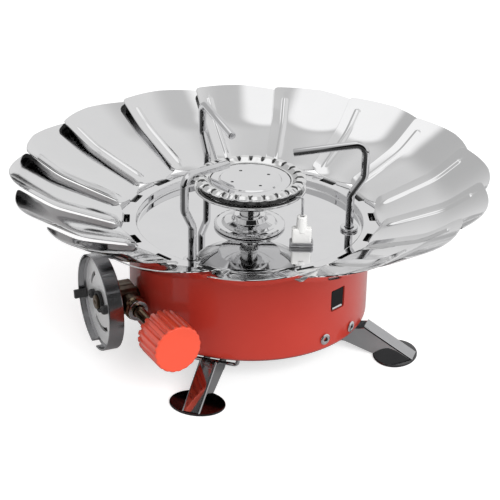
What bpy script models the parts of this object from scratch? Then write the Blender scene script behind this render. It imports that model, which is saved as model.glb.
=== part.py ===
"""Camping gas stove with a folding petal windshield, modelled at its real size.

Lengths are in metres and angles in degrees. The origin lies on the ground under the
centre of the drum, +Z is up and the front of the stove faces -Y.
"""
import math

import bmesh
import bpy
from mathutils import Matrix, Vector

# Clearances
gap = 0.0003
running_gap = 0.0004
overrun = 0.0020

# Drum, a deep drawn cup with an inward rim
drum_radius = 0.0575
drum_wall = 0.0010
drum_base_height = 0.0134
drum_corner = 0.0030
drum_top_height = 0.0568
drum_rim_width = 0.0024
drum_sides = 48
drum_vent_radius = 0.0070
drum_slot_count = 6
drum_slot_length = 0.0140
drum_slot_width = 0.0040
drum_slot_circle = 0.0270

# Top plate, a sunk mirror floor with a raised ring of slots
plate_rise = 0.0032
plate_overhang = 0.0065
plate_sheet = 0.0008
floor_drop = 0.0040
floor_mouth_radius = 0.0095

# Windshield petals, each hooked through its own slot
petal_count = 16
petal_first_angle = 3.5
petal_sheet = 0.0005
petal_blade_length = 0.0580
petal_neck_length = 0.0032
petal_neck_slope = 60.0
petal_inner_slope = 19.0
petal_lip_slope = 33.0
petal_lip_start_share = 0.58
petal_lip_blend_share = 0.12
petal_row_shares = (0.22, 0.40, 0.58, 0.78, 1.0)
petal_neck_width = 0.0080
petal_root_lap = 0.00386
petal_shoulder = 0.0030
petal_tip_lap = 0.0040
petal_reach_share = 0.93
petal_tip_bow = 0.0030
petal_cup_radius = 0.0700
petal_cup_start = 0.0040
petal_tilt_share = 0.070
petal_rib_height = 0.0009
petal_rib_inset = 0.0058
petal_rib_width = 0.0036
petal_bar_radius = 0.0008
petal_bar_length = 0.0110
petal_hinge_overhang = 0.0013
petal_fold_angle = 55.0

# Pot supports, three bent rods that swivel in bushes
support_count = 3
support_first_angle = -122.8
support_inset = 0.0100
support_rod_radius = 0.00195
support_tail_length = 0.0110
support_straight_height = 0.0140
support_jog_width = 0.0062
support_jog_height = 0.0240
support_top_height = 0.0405
support_reach_length = 0.0277
support_droop_height = 0.0060
support_elbow_radius = 0.0055
support_bend_radius = 0.0060
support_head_radius = 0.0030
support_head_thickness = 0.0012
bush_flange_radius = 0.0042
bush_flange_thickness = 0.0012
bush_wall = 0.0009
bush_depth = 0.0040
bush_bevel_share = 0.92

# Burner
burner_foot_radius = 0.0170
burner_foot_step = 0.0012
burner_foot_height = 0.0058
burner_foot_radius_shares = (0.78, 0.72, 0.50, 0.44)
burner_foot_step_shares = (1.3, 2.2, 2.8)
burner_stem_radius = 0.0044
burner_bowl_height = 0.0122
burner_bowl_radius = 0.0150
burner_bowl_rim_height = 0.0196
burner_bowl_lip = 0.0010
burner_sheet = 0.0012
crown_seat = 0.0016
crown_band = 0.0050
crown_flare = 0.0022
crown_bottom_height = 0.0238
crown_edge_height = 0.0010
crown_top_height = 0.0258
crown_neck_radius = 0.0243
crown_port_count = 24
crown_port_radius = 0.0011
crown_port_inset = 0.0003
crown_flute_depth = 0.0010
cap_height = 0.0236
cap_thickness = 0.0012
cap_raised_inset = 0.0050
cap_raised_step = 0.0007
cap_hole_count = 4
cap_hole_inset = 0.0045
cap_hole_radius = 0.0008
cap_hole_first_angle = 29.0
tube_wall = 0.0012
tube_bottom_rise = 0.0090

# Jet and gas line
valve_angle = 204.5
valve_height_share = 0.3825
jet_radius = 0.0040
jet_bottom_drop = 0.0050
jet_top_rise = 0.0072
jet_tip_radius = 0.0018
jet_tip_length = 0.0030
jet_bevel_share = 0.2
pipe_radius = 0.0023
shank_radius = 0.0042
shank_depth = 0.0080
shank_bevel_share = 0.15
wall_nut_radius = 0.0075
wall_nut_thickness = 0.0030
valve_block_radius = 0.0066
valve_block_stand = 0.0020
valve_ear_length = 0.0232
valve_ear_width = 0.0100
valve_ear_thickness = 0.0022
valve_centre_stand = 0.0065
branch_angle = -60.0
branch_radius = 0.0052
branch_length = 0.0112
packing_nut_radius = 0.0056
packing_nut_thickness = 0.0030
packing_nut_start = 0.0115
packing_straight_share = 0.7
packing_bevel_share = 0.85
washer_outer_radius = 0.0050
washer_inner_radius = 0.0030
washer_thickness = 0.0008
spindle_radius = 0.0026
spindle_start = 0.0040
spindle_knob_depth = 0.0120
collar_gap = 0.0006

# Valve knob
knob_radius = 0.0114
knob_groove = 0.0010
knob_rib_count = 20
knob_rib_shares = (0.0, 0.42, 0.56, 0.86)
knob_length = 0.0190
knob_back = 0.0372
knob_chamfer = 0.0012
knob_face_rim = 0.0014

# Cartridge flange, a shallow cup that faces away from the drum
flange_radius = 0.0230
flange_lip = 0.0037
flange_skirt = 0.0035
flange_sheet = 0.0010
flange_stand = 0.0180
flange_slot_circle = 0.0136
flange_slot_width = 0.0020
flange_slot_angles = (146.0, -88.0)
flange_slot_sweeps = (42.0, 72.0)
flange_notch_width = 0.0060
flange_notch_angles = (118.0, -92.0)
nozzle_radius = 0.0033
nozzle_length = 0.0030
nozzle_bore_radius = 0.0009
nozzle_bevel_share = 0.7
seal_outer_radius = 0.0052
seal_thickness = 0.0014
flange_screw_offset = 0.0088
flange_screw_head_radius = 0.0022
flange_screw_head_height = 0.0026
flange_screw_shank_radius = 0.0010
flange_screw_length = 0.0040
flange_screw_straight_share = 0.6
flange_screw_bevel_share = 0.7
locating_tab_thickness = 0.0020
locating_tab_width = 0.0042
locating_tab_length = 0.0066
locating_tab_angle = 194.0

# Electric igniter
igniter_angle = -43.9
window_width = 0.0092
window_height = 0.0108
window_height_share = 0.576
button_set_back = 0.0004
button_depth = 0.0080
button_stem_width = 0.0052
button_stem_height = 0.0062
button_stem_length = 0.0070
igniter_width = 0.0100
igniter_height = 0.0120
igniter_set_back = 0.0145
igniter_length = 0.0170
igniter_pocket_depth = 0.0130
spring_turns = 5
spring_wire_radius = 0.0003
spring_radius = 0.0020
spring_points_per_turn = 8
bracket_sheet = 0.0010
bracket_width = 0.0240
bracket_height = 0.0090
bracket_rise = 0.0034
bracket_angle = -42.2
bracket_tongue_width = 0.0080
rivet_half_span = 0.0093
rivet_rises = (0.0067, 0.0059)
rivet_radius = 0.0017
rivet_bore_radius = 0.0008
rivet_head_radius = 0.0027
rivet_head_thickness = 0.0007
rivet_bevel_share = 0.85
rivet_mouth_share = 1.3
electrode_angle = -40.15
electrode_stand = 0.0053
electrode_block_width = 0.0093
electrode_block_depth = 0.0046
electrode_block_height = 0.0088
electrode_neck_radius = 0.0026
electrode_neck_height = 0.0060
electrode_tail_radius = 0.0024
electrode_wire_radius = 0.0006
electrode_tip_height = 0.0190
electrode_tip_stand = 0.0010
clip_sheet = 0.0006
clip_height = 0.0022
clip_foot = 0.0034
lead_radius = 0.0011
lead_drop = 0.0050
lead_room = 0.0048

# Folding legs on wire staples
leg_angles = (-107.0, -18.0, 118.0)
leg_width = 0.0086
leg_sheet = 0.0008
leg_inset = 0.0075
leg_pivot_drop = 0.0048
leg_knuckle_radius = 0.0038
leg_knuckle_share = 0.98
leg_ridge_reach = 0.0084
leg_ridge_rise = 0.0060
leg_toe_reach = 0.0342
leg_toe_height = 0.0010
leg_heel_reach = 0.0140
leg_shoulder_reach = 0.0045
foot_reach = 0.0247
foot_half_length = 0.0105
foot_half_width = 0.0130
foot_thickness = 0.0010
staple_radius = 0.0009
staple_half_width = 0.0110
staple_bend = 0.0020
staple_head_radius = 0.0018
staple_head_thickness = 0.0008

# Places worked out from the sizes above
drum_depth = drum_top_height - drum_base_height
ring_height = drum_top_height + plate_rise
ring_radius = drum_radius + plate_overhang
petal_hinge_radius = drum_radius + petal_hinge_overhang
support_circle = drum_radius - support_inset
valve_height = drum_base_height + drum_depth * valve_height_share
tube_bottom_height = valve_height + tube_bottom_rise
jet_bottom_height = valve_height - jet_bottom_drop
jet_top_height = valve_height + jet_top_rise
shank_inner_end = drum_radius - shank_depth
valve_block_start = drum_radius + valve_block_stand
valve_centre = drum_radius + valve_centre_stand
flange_face = drum_radius + flange_stand
window_centre_height = drum_base_height + drum_depth * window_height_share
igniter_front = drum_radius - igniter_set_back
bracket_bottom_height = drum_base_height + bracket_rise
rivet_heights = [drum_base_height + rise for rise in rivet_rises]
rivet_half_angle = math.degrees(math.asin(rivet_half_span / drum_radius))
rivet_angles = (bracket_angle - rivet_half_angle, bracket_angle + rivet_half_angle)
leg_pivot_radius = drum_radius - leg_inset
leg_pivot_height = drum_base_height - leg_pivot_drop
leg_ridge_start = leg_pivot_radius + leg_ridge_reach
leg_ridge_start_height = leg_pivot_height + leg_ridge_rise
leg_toe = leg_pivot_radius + leg_toe_reach
leg_heel = leg_pivot_radius + leg_heel_reach
leg_shoulder = leg_pivot_radius + leg_shoulder_reach
foot_centre = leg_pivot_radius + foot_reach
floor_top = ring_height - floor_drop
floor_under = floor_top - plate_sheet
ring_under = ring_height - plate_sheet
spigot_radius = drum_radius - drum_rim_width - gap
petal_hinge_height = ring_under - gap - petal_bar_radius
electrode_tail_length = floor_under - window_centre_height - igniter_height / 2.0 - lead_room
burner_head_radius = crown_neck_radius + crown_flare
crown_inner_radius = crown_neck_radius - crown_band
crown_port_circle = crown_neck_radius - crown_port_inset
cap_raised_radius = crown_inner_radius - cap_raised_inset
cap_hole_circle = cap_raised_radius - cap_hole_inset
electrode_tip_reach = burner_head_radius + electrode_tip_stand
electrode_reach = burner_head_radius + electrode_stand
electrode_x = electrode_reach * math.cos(math.radians(electrode_angle))
electrode_y = electrode_reach * math.sin(math.radians(electrode_angle))
pitch_angle = 360.0 / petal_count
pitch_chord_share = 2.0 * math.sin(math.pi / petal_count)
petal_root_width = petal_hinge_radius * pitch_chord_share + petal_root_lap
petal_rim_radius = petal_hinge_radius + petal_blade_length * petal_reach_share
petal_tip_width = petal_rim_radius * pitch_chord_share + petal_tip_lap
bush_bore_radius = support_rod_radius + gap
drum_inner_flat = (drum_radius - drum_wall) * math.cos(math.pi / drum_sides)


def clear_scene():
    """Remove every object that the file starts with."""
    for thing in list(bpy.data.objects):
        bpy.data.objects.remove(thing, do_unlink=True)


def make_material(name, colour, roughness, metallic):
    """Return a Principled material with one colour."""
    surface = bpy.data.materials.new(name)
    surface.use_nodes = True
    shader = surface.node_tree.nodes["Principled BSDF"]
    shader.inputs["Base Color"].default_value = (*colour, 1.0)
    shader.inputs["Roughness"].default_value = roughness
    shader.inputs["Metallic"].default_value = metallic
    return surface


def polar(radius, angle, height=0.0):
    """Return the point at a radius, an angle in degrees and a height."""
    turn = math.radians(angle)
    return Vector((radius * math.cos(turn), radius * math.sin(turn), height))


def heading(angle):
    """Return the horizontal unit vector that points along an angle in degrees."""
    return polar(1.0, angle)


def shade(mesh, angle=35.0):
    """Shade a mesh smooth and keep its edges sharp past an angle."""
    mesh.shade_smooth()
    mesh.set_sharp_from_angle(angle=math.radians(angle))


def finish_mesh(name, work, surface):
    """Turn a bmesh into an object with outward faces."""
    bmesh.ops.remove_doubles(work, verts=work.verts, dist=gap / 100.0)
    bmesh.ops.recalc_face_normals(work, faces=work.faces)
    mesh = bpy.data.meshes.new(name)
    work.to_mesh(mesh)
    work.free()
    shade(mesh)
    mesh.materials.append(surface)
    thing = bpy.data.objects.new(name, mesh)
    bpy.context.collection.objects.link(thing)
    return thing


def revolve(name, profile, sides, surface):
    """Spin a closed profile of (radius, height) points about Z."""
    work = bmesh.new()
    ring = [work.verts.new((radius, 0.0, height)) for radius, height in profile]
    edges = [work.edges.new((ring[i], ring[(i + 1) % len(ring)])) for i in range(len(ring))]
    bmesh.ops.spin(
        work,
        geom=ring + edges,
        axis=(0.0, 0.0, 1.0),
        cent=(0.0, 0.0, 0.0),
        angle=2.0 * math.pi,
        steps=sides,
        use_merge=True,
    )
    bmesh.ops.remove_doubles(work, verts=work.verts, dist=gap / 100.0)
    bmesh.ops.dissolve_degenerate(work, edges=work.edges, dist=gap / 100.0)
    return finish_mesh(name, work, surface)


def lathe(name, outline, sides, surface):
    """Spin an open outline, closed along the axis, into a solid without a bore."""
    closed = [(0.0, outline[0][1])] + list(outline) + [(0.0, outline[-1][1])]
    work = bmesh.new()
    ring = [work.verts.new((radius, 0.0, height)) for radius, height in closed]
    edges = [work.edges.new((ring[i], ring[i + 1])) for i in range(len(ring) - 1)]
    bmesh.ops.spin(
        work,
        geom=ring + edges,
        axis=(0.0, 0.0, 1.0),
        cent=(0.0, 0.0, 0.0),
        angle=2.0 * math.pi,
        steps=sides,
        use_merge=True,
    )
    return finish_mesh(name, work, surface)


def cylinder(name, radius, start, end, sides, surface):
    """Return a plain cylinder on Z between two heights."""
    return lathe(name, [(radius, start), (radius, end)], sides, surface)


def extrude_outline(name, outline, depth, surface):
    """Extrude a closed outline in the XZ plane by a depth, centred on Y."""
    work = bmesh.new()
    face = work.faces.new([work.verts.new((x, -depth / 2.0, z)) for x, z in outline])
    grown = bmesh.ops.extrude_face_region(work, geom=[face])
    moved = [item for item in grown["geom"] if isinstance(item, bmesh.types.BMVert)]
    bmesh.ops.translate(work, verts=moved, vec=(0.0, depth, 0.0))
    return finish_mesh(name, work, surface)


def block(name, low, high, surface):
    """Return a box between two corners."""
    outline = [(low[0], low[2]), (high[0], low[2]), (high[0], high[2]), (low[0], high[2])]
    thing = extrude_outline(name, outline, high[1] - low[1], surface)
    shift(thing, (0.0, (low[1] + high[1]) / 2.0, 0.0))
    return thing


def shift(thing, offset):
    """Move the mesh of an object, leaving its origin in place."""
    thing.data.transform(Matrix.Translation(Vector(offset)))


def turn(thing, angle, axis="Z"):
    """Turn the mesh of an object about an axis through its origin."""
    thing.data.transform(Matrix.Rotation(math.radians(angle), 4, axis))


def lay_along(thing, direction):
    """Turn a mesh built on +Z so that it points along a horizontal direction."""
    side = Vector((0.0, 0.0, 1.0)).cross(direction).normalized()
    frame = Matrix((side, Vector((0.0, 0.0, 1.0)), direction.normalized())).transposed()
    thing.data.transform(frame.to_4x4())


def evaluated_mesh(thing):
    """Return the mesh of an object with its modifiers applied."""
    view = bpy.context.evaluated_depsgraph_get()
    view.update()
    return bpy.data.meshes.new_from_object(thing.evaluated_get(view), depsgraph=view)


def combine(thing, others, operation):
    """Join other objects to a mesh, or cut them from it, and delete them."""
    for other in others:
        step = thing.modifiers.new(operation.title(), "BOOLEAN")
        step.operation = operation
        step.solver = "EXACT"
        step.object = other
        mesh = evaluated_mesh(thing)
        thing.modifiers.clear()
        old = thing.data
        thing.data = mesh
        bpy.data.meshes.remove(old)
        bpy.data.objects.remove(other, do_unlink=True)
    shade(thing.data)
    return thing


def cut(thing, cutters):
    """Cut solids out of an object."""
    return combine(thing, cutters, "DIFFERENCE")


def weld(thing, parts):
    """Join solids to an object."""
    return combine(thing, parts, "UNION")


def rounded_path(corners, bend, steps=5):
    """Return the points of a polyline whose inner corners are arcs of a bend radius."""
    points = [Vector(corners[0])]
    for before, corner, after in zip(corners, corners[1:], corners[2:]):
        before, corner, after = Vector(before), Vector(corner), Vector(after)
        back = (before - corner).normalized()
        forward = (after - corner).normalized()
        half = back.angle(forward) / 2.0
        reach = min(bend / math.tan(half), (before - corner).length / 2.0, (after - corner).length / 2.0)
        radius = reach * math.tan(half)
        centre = corner + (back + forward).normalized() * (radius / math.sin(half))
        start = corner + back * reach - centre
        end = corner + forward * reach - centre
        sweep = start.angle(end)
        for step in range(steps + 1):
            share = step / steps
            rise = math.sin((1.0 - share) * sweep) / math.sin(sweep)
            fall = math.sin(share * sweep) / math.sin(sweep)
            points.append(centre + start * rise + end * fall)
    points.append(Vector(corners[-1]))
    return points


def tube(name, points, radius, surface, resolution=2):
    """Return a round bar that follows a list of points, with closed ends."""
    curve = bpy.data.curves.new(name, "CURVE")
    curve.dimensions = "3D"
    curve.bevel_depth = radius
    curve.bevel_resolution = resolution
    curve.use_fill_caps = True
    spline = curve.splines.new("POLY")
    spline.points.add(len(points) - 1)
    for slot, point in zip(spline.points, points):
        slot.co = (*point, 1.0)
    guide = bpy.data.objects.new(name + "_path", curve)
    bpy.context.collection.objects.link(guide)
    work = bmesh.new()
    work.from_mesh(evaluated_mesh(guide))
    bpy.data.objects.remove(guide, do_unlink=True)
    return finish_mesh(name, work, surface)


def arc_outline(centre, radius, start, end, steps):
    """Return points on an arc from one angle to another."""
    points = []
    for step in range(steps + 1):
        angle = math.radians(start + (end - start) * step / steps)
        points.append((centre[0] + radius * math.cos(angle), centre[1] + radius * math.sin(angle)))
    return points


def hexagon_nut(name, radius, bore, start, end, surface):
    """Return a hexagonal ring on Z with a round bore."""
    nut = cylinder(name, radius, start, end, 6, surface)
    bore_cut = cylinder(name + "_bore", bore, start - overrun, end + overrun, 16, surface)
    return cut(nut, [bore_cut])


def build_drum(surface):
    """Return the painted drum with its window, rivet holes, vents and valve hole."""
    base = drum_base_height
    corner_centre = (drum_radius - drum_corner, base + drum_corner)
    profile = [(drum_vent_radius, base)]
    profile += arc_outline(corner_centre, drum_corner, -90.0, 0.0, 2)
    profile += [
        (drum_radius, drum_top_height - drum_wall / 2.0),
        (drum_radius - drum_wall / 2.0, drum_top_height),
        (drum_radius - drum_rim_width, drum_top_height),
        (drum_radius - drum_rim_width, drum_top_height - drum_wall),
        (drum_radius - drum_wall, drum_top_height - drum_wall),
    ]
    profile += arc_outline(corner_centre, drum_corner - drum_wall, 0.0, -90.0, 2)
    profile.append((drum_vent_radius, base + drum_wall))
    drum = revolve("drum_shell", profile, drum_sides, surface)

    cutters = [wall_window(surface)]
    pipe_hole = cylinder("pipe_hole", shank_radius + gap, -overrun, drum_corner + overrun, 16, surface)
    lay_along(pipe_hole, heading(valve_angle))
    shift(pipe_hole, polar(drum_radius - drum_corner, valve_angle, valve_height))
    cutters.append(pipe_hole)
    for angle, height in zip(rivet_angles, rivet_heights):
        hole = cylinder("rivet_hole", rivet_radius + gap, -overrun, drum_corner + overrun, 12, surface)
        lay_along(hole, heading(angle))
        shift(hole, polar(drum_radius - drum_corner, angle, height))
        cutters.append(hole)
    for angle in leg_angles:
        for side in (-1.0, 1.0):
            hole = cylinder("staple_hole", staple_radius + gap, -overrun, drum_wall + overrun, 8, surface)
            shift(hole, staple_end(angle, side) + Vector((0.0, 0.0, base)))
            cutters.append(hole)
    half_length = drum_slot_length / 2.0
    half_width = drum_slot_width / 2.0
    for index in range(drum_slot_count):
        low = (drum_slot_circle - half_length, -half_width, base - overrun)
        high = (drum_slot_circle + half_length, half_width, base + drum_wall + overrun)
        slot = block("vent_slot", low, high, surface)
        turn(slot, leg_angles[0] + 180.0 / drum_slot_count + index * 360.0 / drum_slot_count)
        cutters.append(slot)
    return cut(drum, cutters)


def staple_end(angle, side):
    """Return the place, at height zero, of one upright end of a leg's wire staple."""
    across = heading(angle + 90.0) * (side * staple_half_width)
    return polar(leg_pivot_radius, angle) + across


def wall_window(surface):
    """Return the cutter for the igniter's window in the drum."""
    half = window_width / 2.0
    low_z = window_centre_height - window_height / 2.0
    high_z = window_centre_height + window_height / 2.0
    inner = drum_radius - drum_corner
    opening = block("window", (inner, -half, low_z), (drum_radius + overrun, half, high_z), surface)
    turn(opening, igniter_angle)
    return opening


def build_plate(surface):
    """Return the top plate: a sunk floor, a step up and a ring of petal slots."""
    profile = [
        (floor_mouth_radius, floor_under),
        (spigot_radius, floor_under),
        (spigot_radius, ring_under),
        (ring_radius, ring_under),
        (ring_radius, ring_height),
        (spigot_radius - plate_sheet, ring_height),
        (spigot_radius - plate_sheet, floor_top),
        (floor_mouth_radius, floor_top),
    ]
    plate = revolve("top_plate", profile, drum_sides, surface)
    cutters = []
    for index in range(petal_count):
        slot = petal_slot(surface)
        turn(slot, petal_first_angle + index * pitch_angle)
        cutters.append(slot)
    for index in range(support_count):
        angle = support_first_angle + index * 360.0 / support_count
        radius = bush_bore_radius + bush_wall + gap
        hole = cylinder("bush_hole", radius, floor_under - overrun, floor_top + overrun, 16, surface)
        shift(hole, polar(support_circle, angle))
        cutters.append(hole)
    tail_radius = electrode_tail_radius + gap
    hole = cylinder("electrode_hole", tail_radius, floor_under - overrun, floor_top + overrun, 12, surface)
    shift(hole, (electrode_x, electrode_y, 0.0))
    cutters.append(hole)
    return cut(plate, cutters)


def petal_slot(surface):
    """Return the cutter for one petal's slot, wide enough for the neck to swing."""
    rise = ring_height - petal_hinge_height
    half_sheet = petal_sheet / 2.0 + gap
    rest = math.radians(petal_neck_slope)
    folded = math.radians(petal_neck_slope + petal_fold_angle)
    outer = petal_hinge_radius + rise / math.tan(rest) + half_sheet / math.sin(rest)
    inner = petal_hinge_radius + rise / math.tan(folded) - half_sheet / math.sin(folded) - gap
    half = petal_neck_width / 2.0 + running_gap
    low = (inner, -half, ring_under - overrun / 2.0)
    high = (outer, half, ring_height + overrun)
    return block("petal_slot", low, high, surface)


def petal_slope(travel):
    """Return a petal's slope in degrees at a distance along its blade."""
    middle = petal_lip_start_share
    half = petal_lip_blend_share
    share = (travel / petal_blade_length - middle + half) / (2.0 * half)
    share = min(max(share, 0.0), 1.0)
    smooth = share * share * (3.0 - 2.0 * share)
    return petal_inner_slope + (petal_lip_slope - petal_inner_slope) * smooth


def petal_centre_line(travel, parts=40):
    """Return (out, up, slope) of the blade's middle line, measured from the hinge."""
    neck = math.radians(petal_neck_slope)
    out = petal_neck_length * math.cos(neck)
    up = petal_neck_length * math.sin(neck)
    step = travel / parts
    for index in range(parts):
        slope = math.radians(petal_slope(step * (index + 0.5)))
        out += step * math.cos(slope)
        up += step * math.sin(slope)
    return out, up, math.radians(petal_slope(travel))


def petal_half_width(travel):
    """Return half the blade's width at a distance along it."""
    root = petal_root_width / 2.0
    if travel < petal_shoulder:
        neck = petal_neck_width / 2.0
        share = math.sin(travel / petal_shoulder * math.pi / 2.0)
        return neck + (root - neck) * share
    share = (travel - petal_shoulder) / (petal_blade_length - petal_shoulder)
    return root + (petal_tip_width / 2.0 - root) * share


def petal_lift(travel, across, half_width):
    """Return how far the blade stands off its middle line: cup, tilt and edge rib."""
    growth = min(travel / petal_cup_start, 1.0)
    cup = across * across / (2.0 * petal_cup_radius) + petal_tilt_share * across
    rib_place = (half_width - petal_rib_inset - across) / (petal_rib_width / 2.0)
    fade = min(max((travel - petal_shoulder) / petal_cup_start, 0.0), 1.0)
    rib = petal_rib_height * fade * max(0.0, 1.0 - abs(rib_place))
    return growth * cup + rib


def petal_rows():
    """Return the distances along the blade at which its grid has a row."""
    rest = petal_blade_length - petal_cup_start
    later = [petal_cup_start + rest * share for share in petal_row_shares]
    return [0.0, petal_shoulder, petal_cup_start] + later


def petal_columns(half_width):
    """Return the places across the blade at which its grid has a column."""
    inner = half_width - petal_rib_inset - petal_rib_width / 2.0
    rib = [inner, inner + petal_rib_width / 2.0, inner + petal_rib_width]
    return [-half_width, -half_width / 2.0, 0.0] + rib + [half_width]


def petal_grid_columns(travel, half_width):
    """Return a row's columns, evenly spread on the narrow neck."""
    wide = petal_columns(half_width)
    if travel > petal_shoulder:
        return wide
    last = len(wide) - 1
    return [half_width * (2.0 * index / last - 1.0) for index in range(last + 1)]


def build_petal_mesh(surface):
    """Return the mesh of one petal, with its hinge bar on the local Y axis."""
    rows = []
    neck = math.radians(petal_neck_slope)
    half = petal_neck_width / 2.0
    last = len(petal_columns(petal_root_width / 2.0)) - 1
    normal = Vector((-math.sin(neck), 0.0, math.cos(neck)))
    evenly = [half * (2.0 * index / last - 1.0) for index in range(last + 1)]
    rows.append([(Vector((0.0, across, 0.0)), normal) for across in evenly])
    for travel in petal_rows():
        half_width = petal_half_width(travel)
        row = []
        for across in petal_grid_columns(travel, half_width):
            bow = petal_tip_bow * (across / half_width) ** 2 * (travel / petal_blade_length) ** 2
            out, up, slope = petal_centre_line(travel - bow)
            if travel == 0.0:
                slope = (slope + neck) / 2.0
            normal = Vector((-math.sin(slope), 0.0, math.cos(slope)))
            spot = Vector((out, across, up)) + normal * petal_lift(travel, across, half_width)
            row.append((spot, normal))
        rows.append(row)

    work = bmesh.new()
    thick = petal_sheet / 2.0
    top = [[work.verts.new(spot + normal * thick) for spot, normal in row] for row in rows]
    under = [[work.verts.new(spot - normal * thick) for spot, normal in row] for row in rows]
    for sheet in (top, under):
        for low, high in zip(sheet, sheet[1:]):
            for index in range(last):
                work.faces.new((low[index], low[index + 1], high[index + 1], high[index]))
    for upper, lower in zip((top[0], top[-1]), (under[0], under[-1])):
        for index in range(last):
            work.faces.new((upper[index], upper[index + 1], lower[index + 1], lower[index]))
    for column in (0, last):
        for index in range(len(rows) - 1):
            corners = (top[index][column], top[index + 1][column])
            work.faces.new((*corners, under[index + 1][column], under[index][column]))
    blade = finish_mesh("petal_blade", work, surface)
    bar = cylinder("petal_bar", petal_bar_radius, -petal_bar_length / 2.0, petal_bar_length / 2.0, 6, surface)
    turn(bar, 90.0, "X")
    weld(blade, [bar])
    mesh = blade.data
    bpy.data.objects.remove(blade, do_unlink=True)
    return mesh


def build_petals(surface):
    """Place the ring of petals, each on its own hinge axis."""
    mesh = build_petal_mesh(surface)
    for index in range(petal_count):
        name = "petal_%02d" % (index + 1)
        angle = petal_first_angle + index * pitch_angle
        petal = bpy.data.objects.new(name, mesh)
        bpy.context.collection.objects.link(petal)
        petal.location = polar(petal_hinge_radius, angle, petal_hinge_height)
        petal.rotation_euler = (0.0, 0.0, math.radians(angle))


def build_supports(rod_surface, bush_surface):
    """Place the three bent rods and the bushes that they swivel in."""
    foot = floor_under - support_tail_length - ring_height
    corners = [
        (0.0, 0.0, foot),
        (0.0, 0.0, support_straight_height),
        (support_jog_width, 0.0, support_jog_height),
        (support_jog_width, 0.0, support_top_height),
        (-support_reach_length, 0.0, support_top_height - support_droop_height),
    ]
    lower = rounded_path(corners[:4], support_bend_radius, 2)[:-1]
    upper = rounded_path([lower[-1], corners[3], corners[4]], support_elbow_radius, 4)
    points = lower + upper[1:]
    head_top = foot + support_head_thickness
    bush_profile = [
        (bush_bore_radius, floor_top - bush_depth),
        (bush_bore_radius + bush_wall, floor_top - bush_depth),
        (bush_bore_radius + bush_wall, floor_top + gap),
        (bush_flange_radius, floor_top + gap),
        (bush_flange_radius * bush_bevel_share, floor_top + gap + bush_flange_thickness),
        (bush_bore_radius, floor_top + gap + bush_flange_thickness),
    ]
    for index in range(support_count):
        angle = support_first_angle + index * 360.0 / support_count
        rod = tube("pot_support_%d" % (index + 1), points, support_rod_radius, rod_surface, 2)
        head = cylinder("head", support_head_radius, foot - gap, head_top, 10, rod_surface)
        weld(rod, [head])
        rod.location = polar(support_circle, angle, ring_height)
        rod.rotation_euler = (0.0, 0.0, math.radians(angle))
        bush = revolve("support_bush_%d" % (index + 1), bush_profile, 14, bush_surface)
        bush.location = polar(support_circle, angle)


def burner_level(height):
    """Return a height above the ground for a height above the plate's floor."""
    return floor_top + gap + height


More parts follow.
